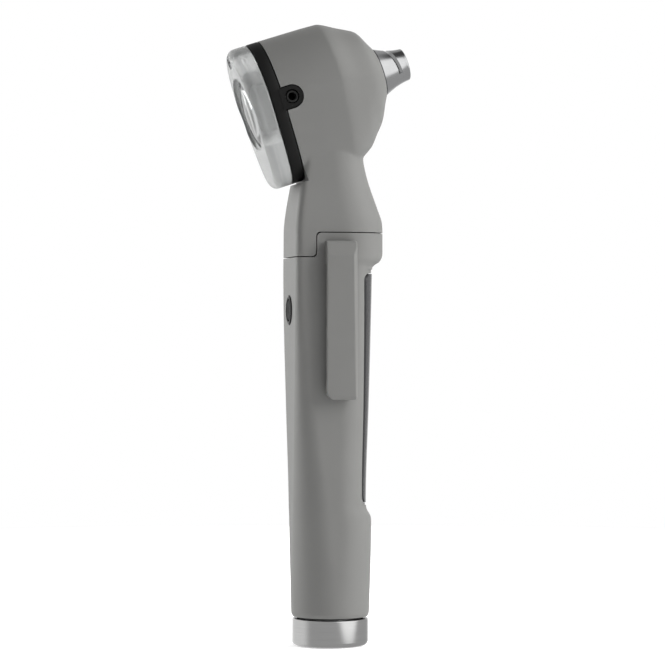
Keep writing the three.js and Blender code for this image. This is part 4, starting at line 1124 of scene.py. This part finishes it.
def studio_world(near, right):
    """White to look at, and a dim room with a few patches for what is mirrored or refracted."""
    world = bpy.data.worlds.new("studio")
    world.use_nodes = True
    tree = world.node_tree
    place = tree.nodes.new("ShaderNodeTexCoord")
    total = None
    for round_by, up_by, faint, full, brightness in PATCHES:
        side, lift = math.radians(round_by), math.radians(up_by)
        level = right * math.sin(side) + near * math.cos(side)
        toward = level * math.cos(lift) + Vector((0, 0, math.sin(lift)))
        facing = tree.nodes.new("ShaderNodeVectorMath")
        facing.operation = "DOT_PRODUCT"
        facing.inputs[1].default_value = toward
        patch = tree.nodes.new("ShaderNodeMapRange")
        patch.interpolation_type = "SMOOTHSTEP"
        for name, value in {"From Min": faint, "From Max": full, "To Min": 0, "To Max": brightness}.items():
            patch.inputs[name].default_value = value
        tree.links.new(place.outputs["Generated"], facing.inputs[0])
        tree.links.new(facing.outputs["Value"], patch.inputs["Value"])
        add = tree.nodes.new("ShaderNodeMath")
        add.inputs[0].default_value = ROOM_LEVEL
        if total:
            tree.links.new(total, add.inputs[0])
        tree.links.new(patch.outputs["Result"], add.inputs[1])
        total = add.outputs[0]
    white = tree.nodes.new("ShaderNodeBackground")
    white.inputs["Color"].default_value = (1, 1, 1, 1)
    seen = tree.nodes.new("ShaderNodeLightPath")
    mix = tree.nodes.new("ShaderNodeMixShader")
    dimmed = tree.nodes.new("ShaderNodeMapRange")
    tree.links.new(seen.outputs["Is Diffuse Ray"], dimmed.inputs["Value"])
    dimmed.inputs["To Min"].default_value, dimmed.inputs["To Max"].default_value = 1.0, DIFFUSE_SHARE
    strength = tree.nodes.new("ShaderNodeMath")
    strength.operation = "MULTIPLY"
    tree.links.new(total, strength.inputs[0])
    tree.links.new(dimmed.outputs["Result"], strength.inputs[1])
    tree.links.new(strength.outputs[0], tree.nodes["Background"].inputs["Strength"])
    tree.links.new(seen.outputs["Is Camera Ray"], mix.inputs["Fac"])
    tree.links.new(tree.nodes["Background"].outputs[0], mix.inputs[1])
    tree.links.new(white.outputs[0], mix.inputs[2])
    tree.links.new(mix.outputs[0], tree.nodes["World Output"].inputs["Surface"])
    tree.nodes["Background"].inputs["Color"].default_value = (1, 1, 1, 1)
    return world


class OTOSCOPE_OT_stage(bpy.types.Operator):
    """Set up the white sweep, the soft lights and the camera"""
    bl_idname = "otoscope.stage"
    bl_label = "Studio"

    def execute(self, context):
        scene, turn = context.scene, size_settings().camera_turn
        right = Vector((math.cos(turn), -math.sin(turn), 0))
        near = Vector((-math.sin(turn), -math.cos(turn), 0))
        paper = lathe("paper_floor", disc(PAPER["radius"], -PAPER["drop"] - PAPER["thick"], -PAPER["drop"]))
        paper.data.materials.append(studio_paper())
        paper.visible_glossy = False
        aim = Vector((0, 0, CAMERA["light_aim"]))
        for name, ((side, toward, height), width, tall, power) in SOFTBOXES.items():
            light = bpy.data.lights.new(name, "AREA")
            light.shape, light.size, light.size_y, light.energy = "RECTANGLE", width, tall, power
            lamp = bpy.data.objects.new(name, light)
            lamp.visible_glossy = lamp.visible_transmission = False
            lamp.location = right * side + near * toward + Vector((0, 0, height))
            lamp.rotation_euler = (aim - lamp.location).to_track_quat("-Z", "Y").to_euler()
            scene.collection.objects.link(lamp)
        scene.world = studio_world(near, right)
        scene.view_settings.view_transform = "Standard"
        camera = bpy.data.cameras.new("camera")
        camera.lens, camera.sensor_width = CAMERA["lens"], CAMERA["sensor"]
        eye = bpy.data.objects.new("camera", camera)
        target = right * CAMERA["aside"] + Vector((0, 0, CAMERA["height"]))
        eye.location = target + near * size_settings().camera_distance
        eye.rotation_euler = (target - eye.location).to_track_quat("-Z", "Y").to_euler()
        scene.collection.objects.link(eye)
        scene.camera = eye
        return {"FINISHED"}


OPERATORS = (OTOSCOPE_OT_head, OTOSCOPE_OT_band, OTOSCOPE_OT_magnifier, OTOSCOPE_OT_nose, OTOSCOPE_OT_handle,
             OTOSCOPE_OT_clip, OTOSCOPE_OT_button, OTOSCOPE_OT_cap, OTOSCOPE_OT_screws, OTOSCOPE_OT_inside,
             OTOSCOPE_OT_stage)


class VIEW3D_PT_otoscope(bpy.types.Panel):
    """Lists the pieces and their settings"""
    bl_label = "Otoscope"
    bl_idname = "VIEW3D_PT_otoscope"
    bl_space_type = "VIEW_3D"
    bl_region_type = "UI"
    bl_category = "Otoscope"

    def draw(self, context):
        for settings in (context.scene.otoscope_finish, context.scene.otoscope_sizes):
            box = self.layout.box()
            for name in settings.__annotations__:
                box.prop(settings, name)
        for operator in OPERATORS:
            self.layout.operator(operator.bl_idname)


CLASSES = (OtoscopeFinish, OtoscopeSizes, *OPERATORS, VIEW3D_PT_otoscope)


def register():
    for cls in CLASSES:
        bpy.utils.register_class(cls)
    bpy.types.Scene.otoscope_finish = PointerProperty(type=OtoscopeFinish)
    bpy.types.Scene.otoscope_sizes = PointerProperty(type=OtoscopeSizes)


def unregister():
    del bpy.types.Scene.otoscope_sizes
    del bpy.types.Scene.otoscope_finish
    for cls in reversed(CLASSES):
        bpy.utils.unregister_class(cls)


def main():
    register()
    for operator in OPERATORS:
        group, name = operator.bl_idname.split(".")
        getattr(getattr(bpy.ops, group), name)()


if __name__ == "__main__":
    main()
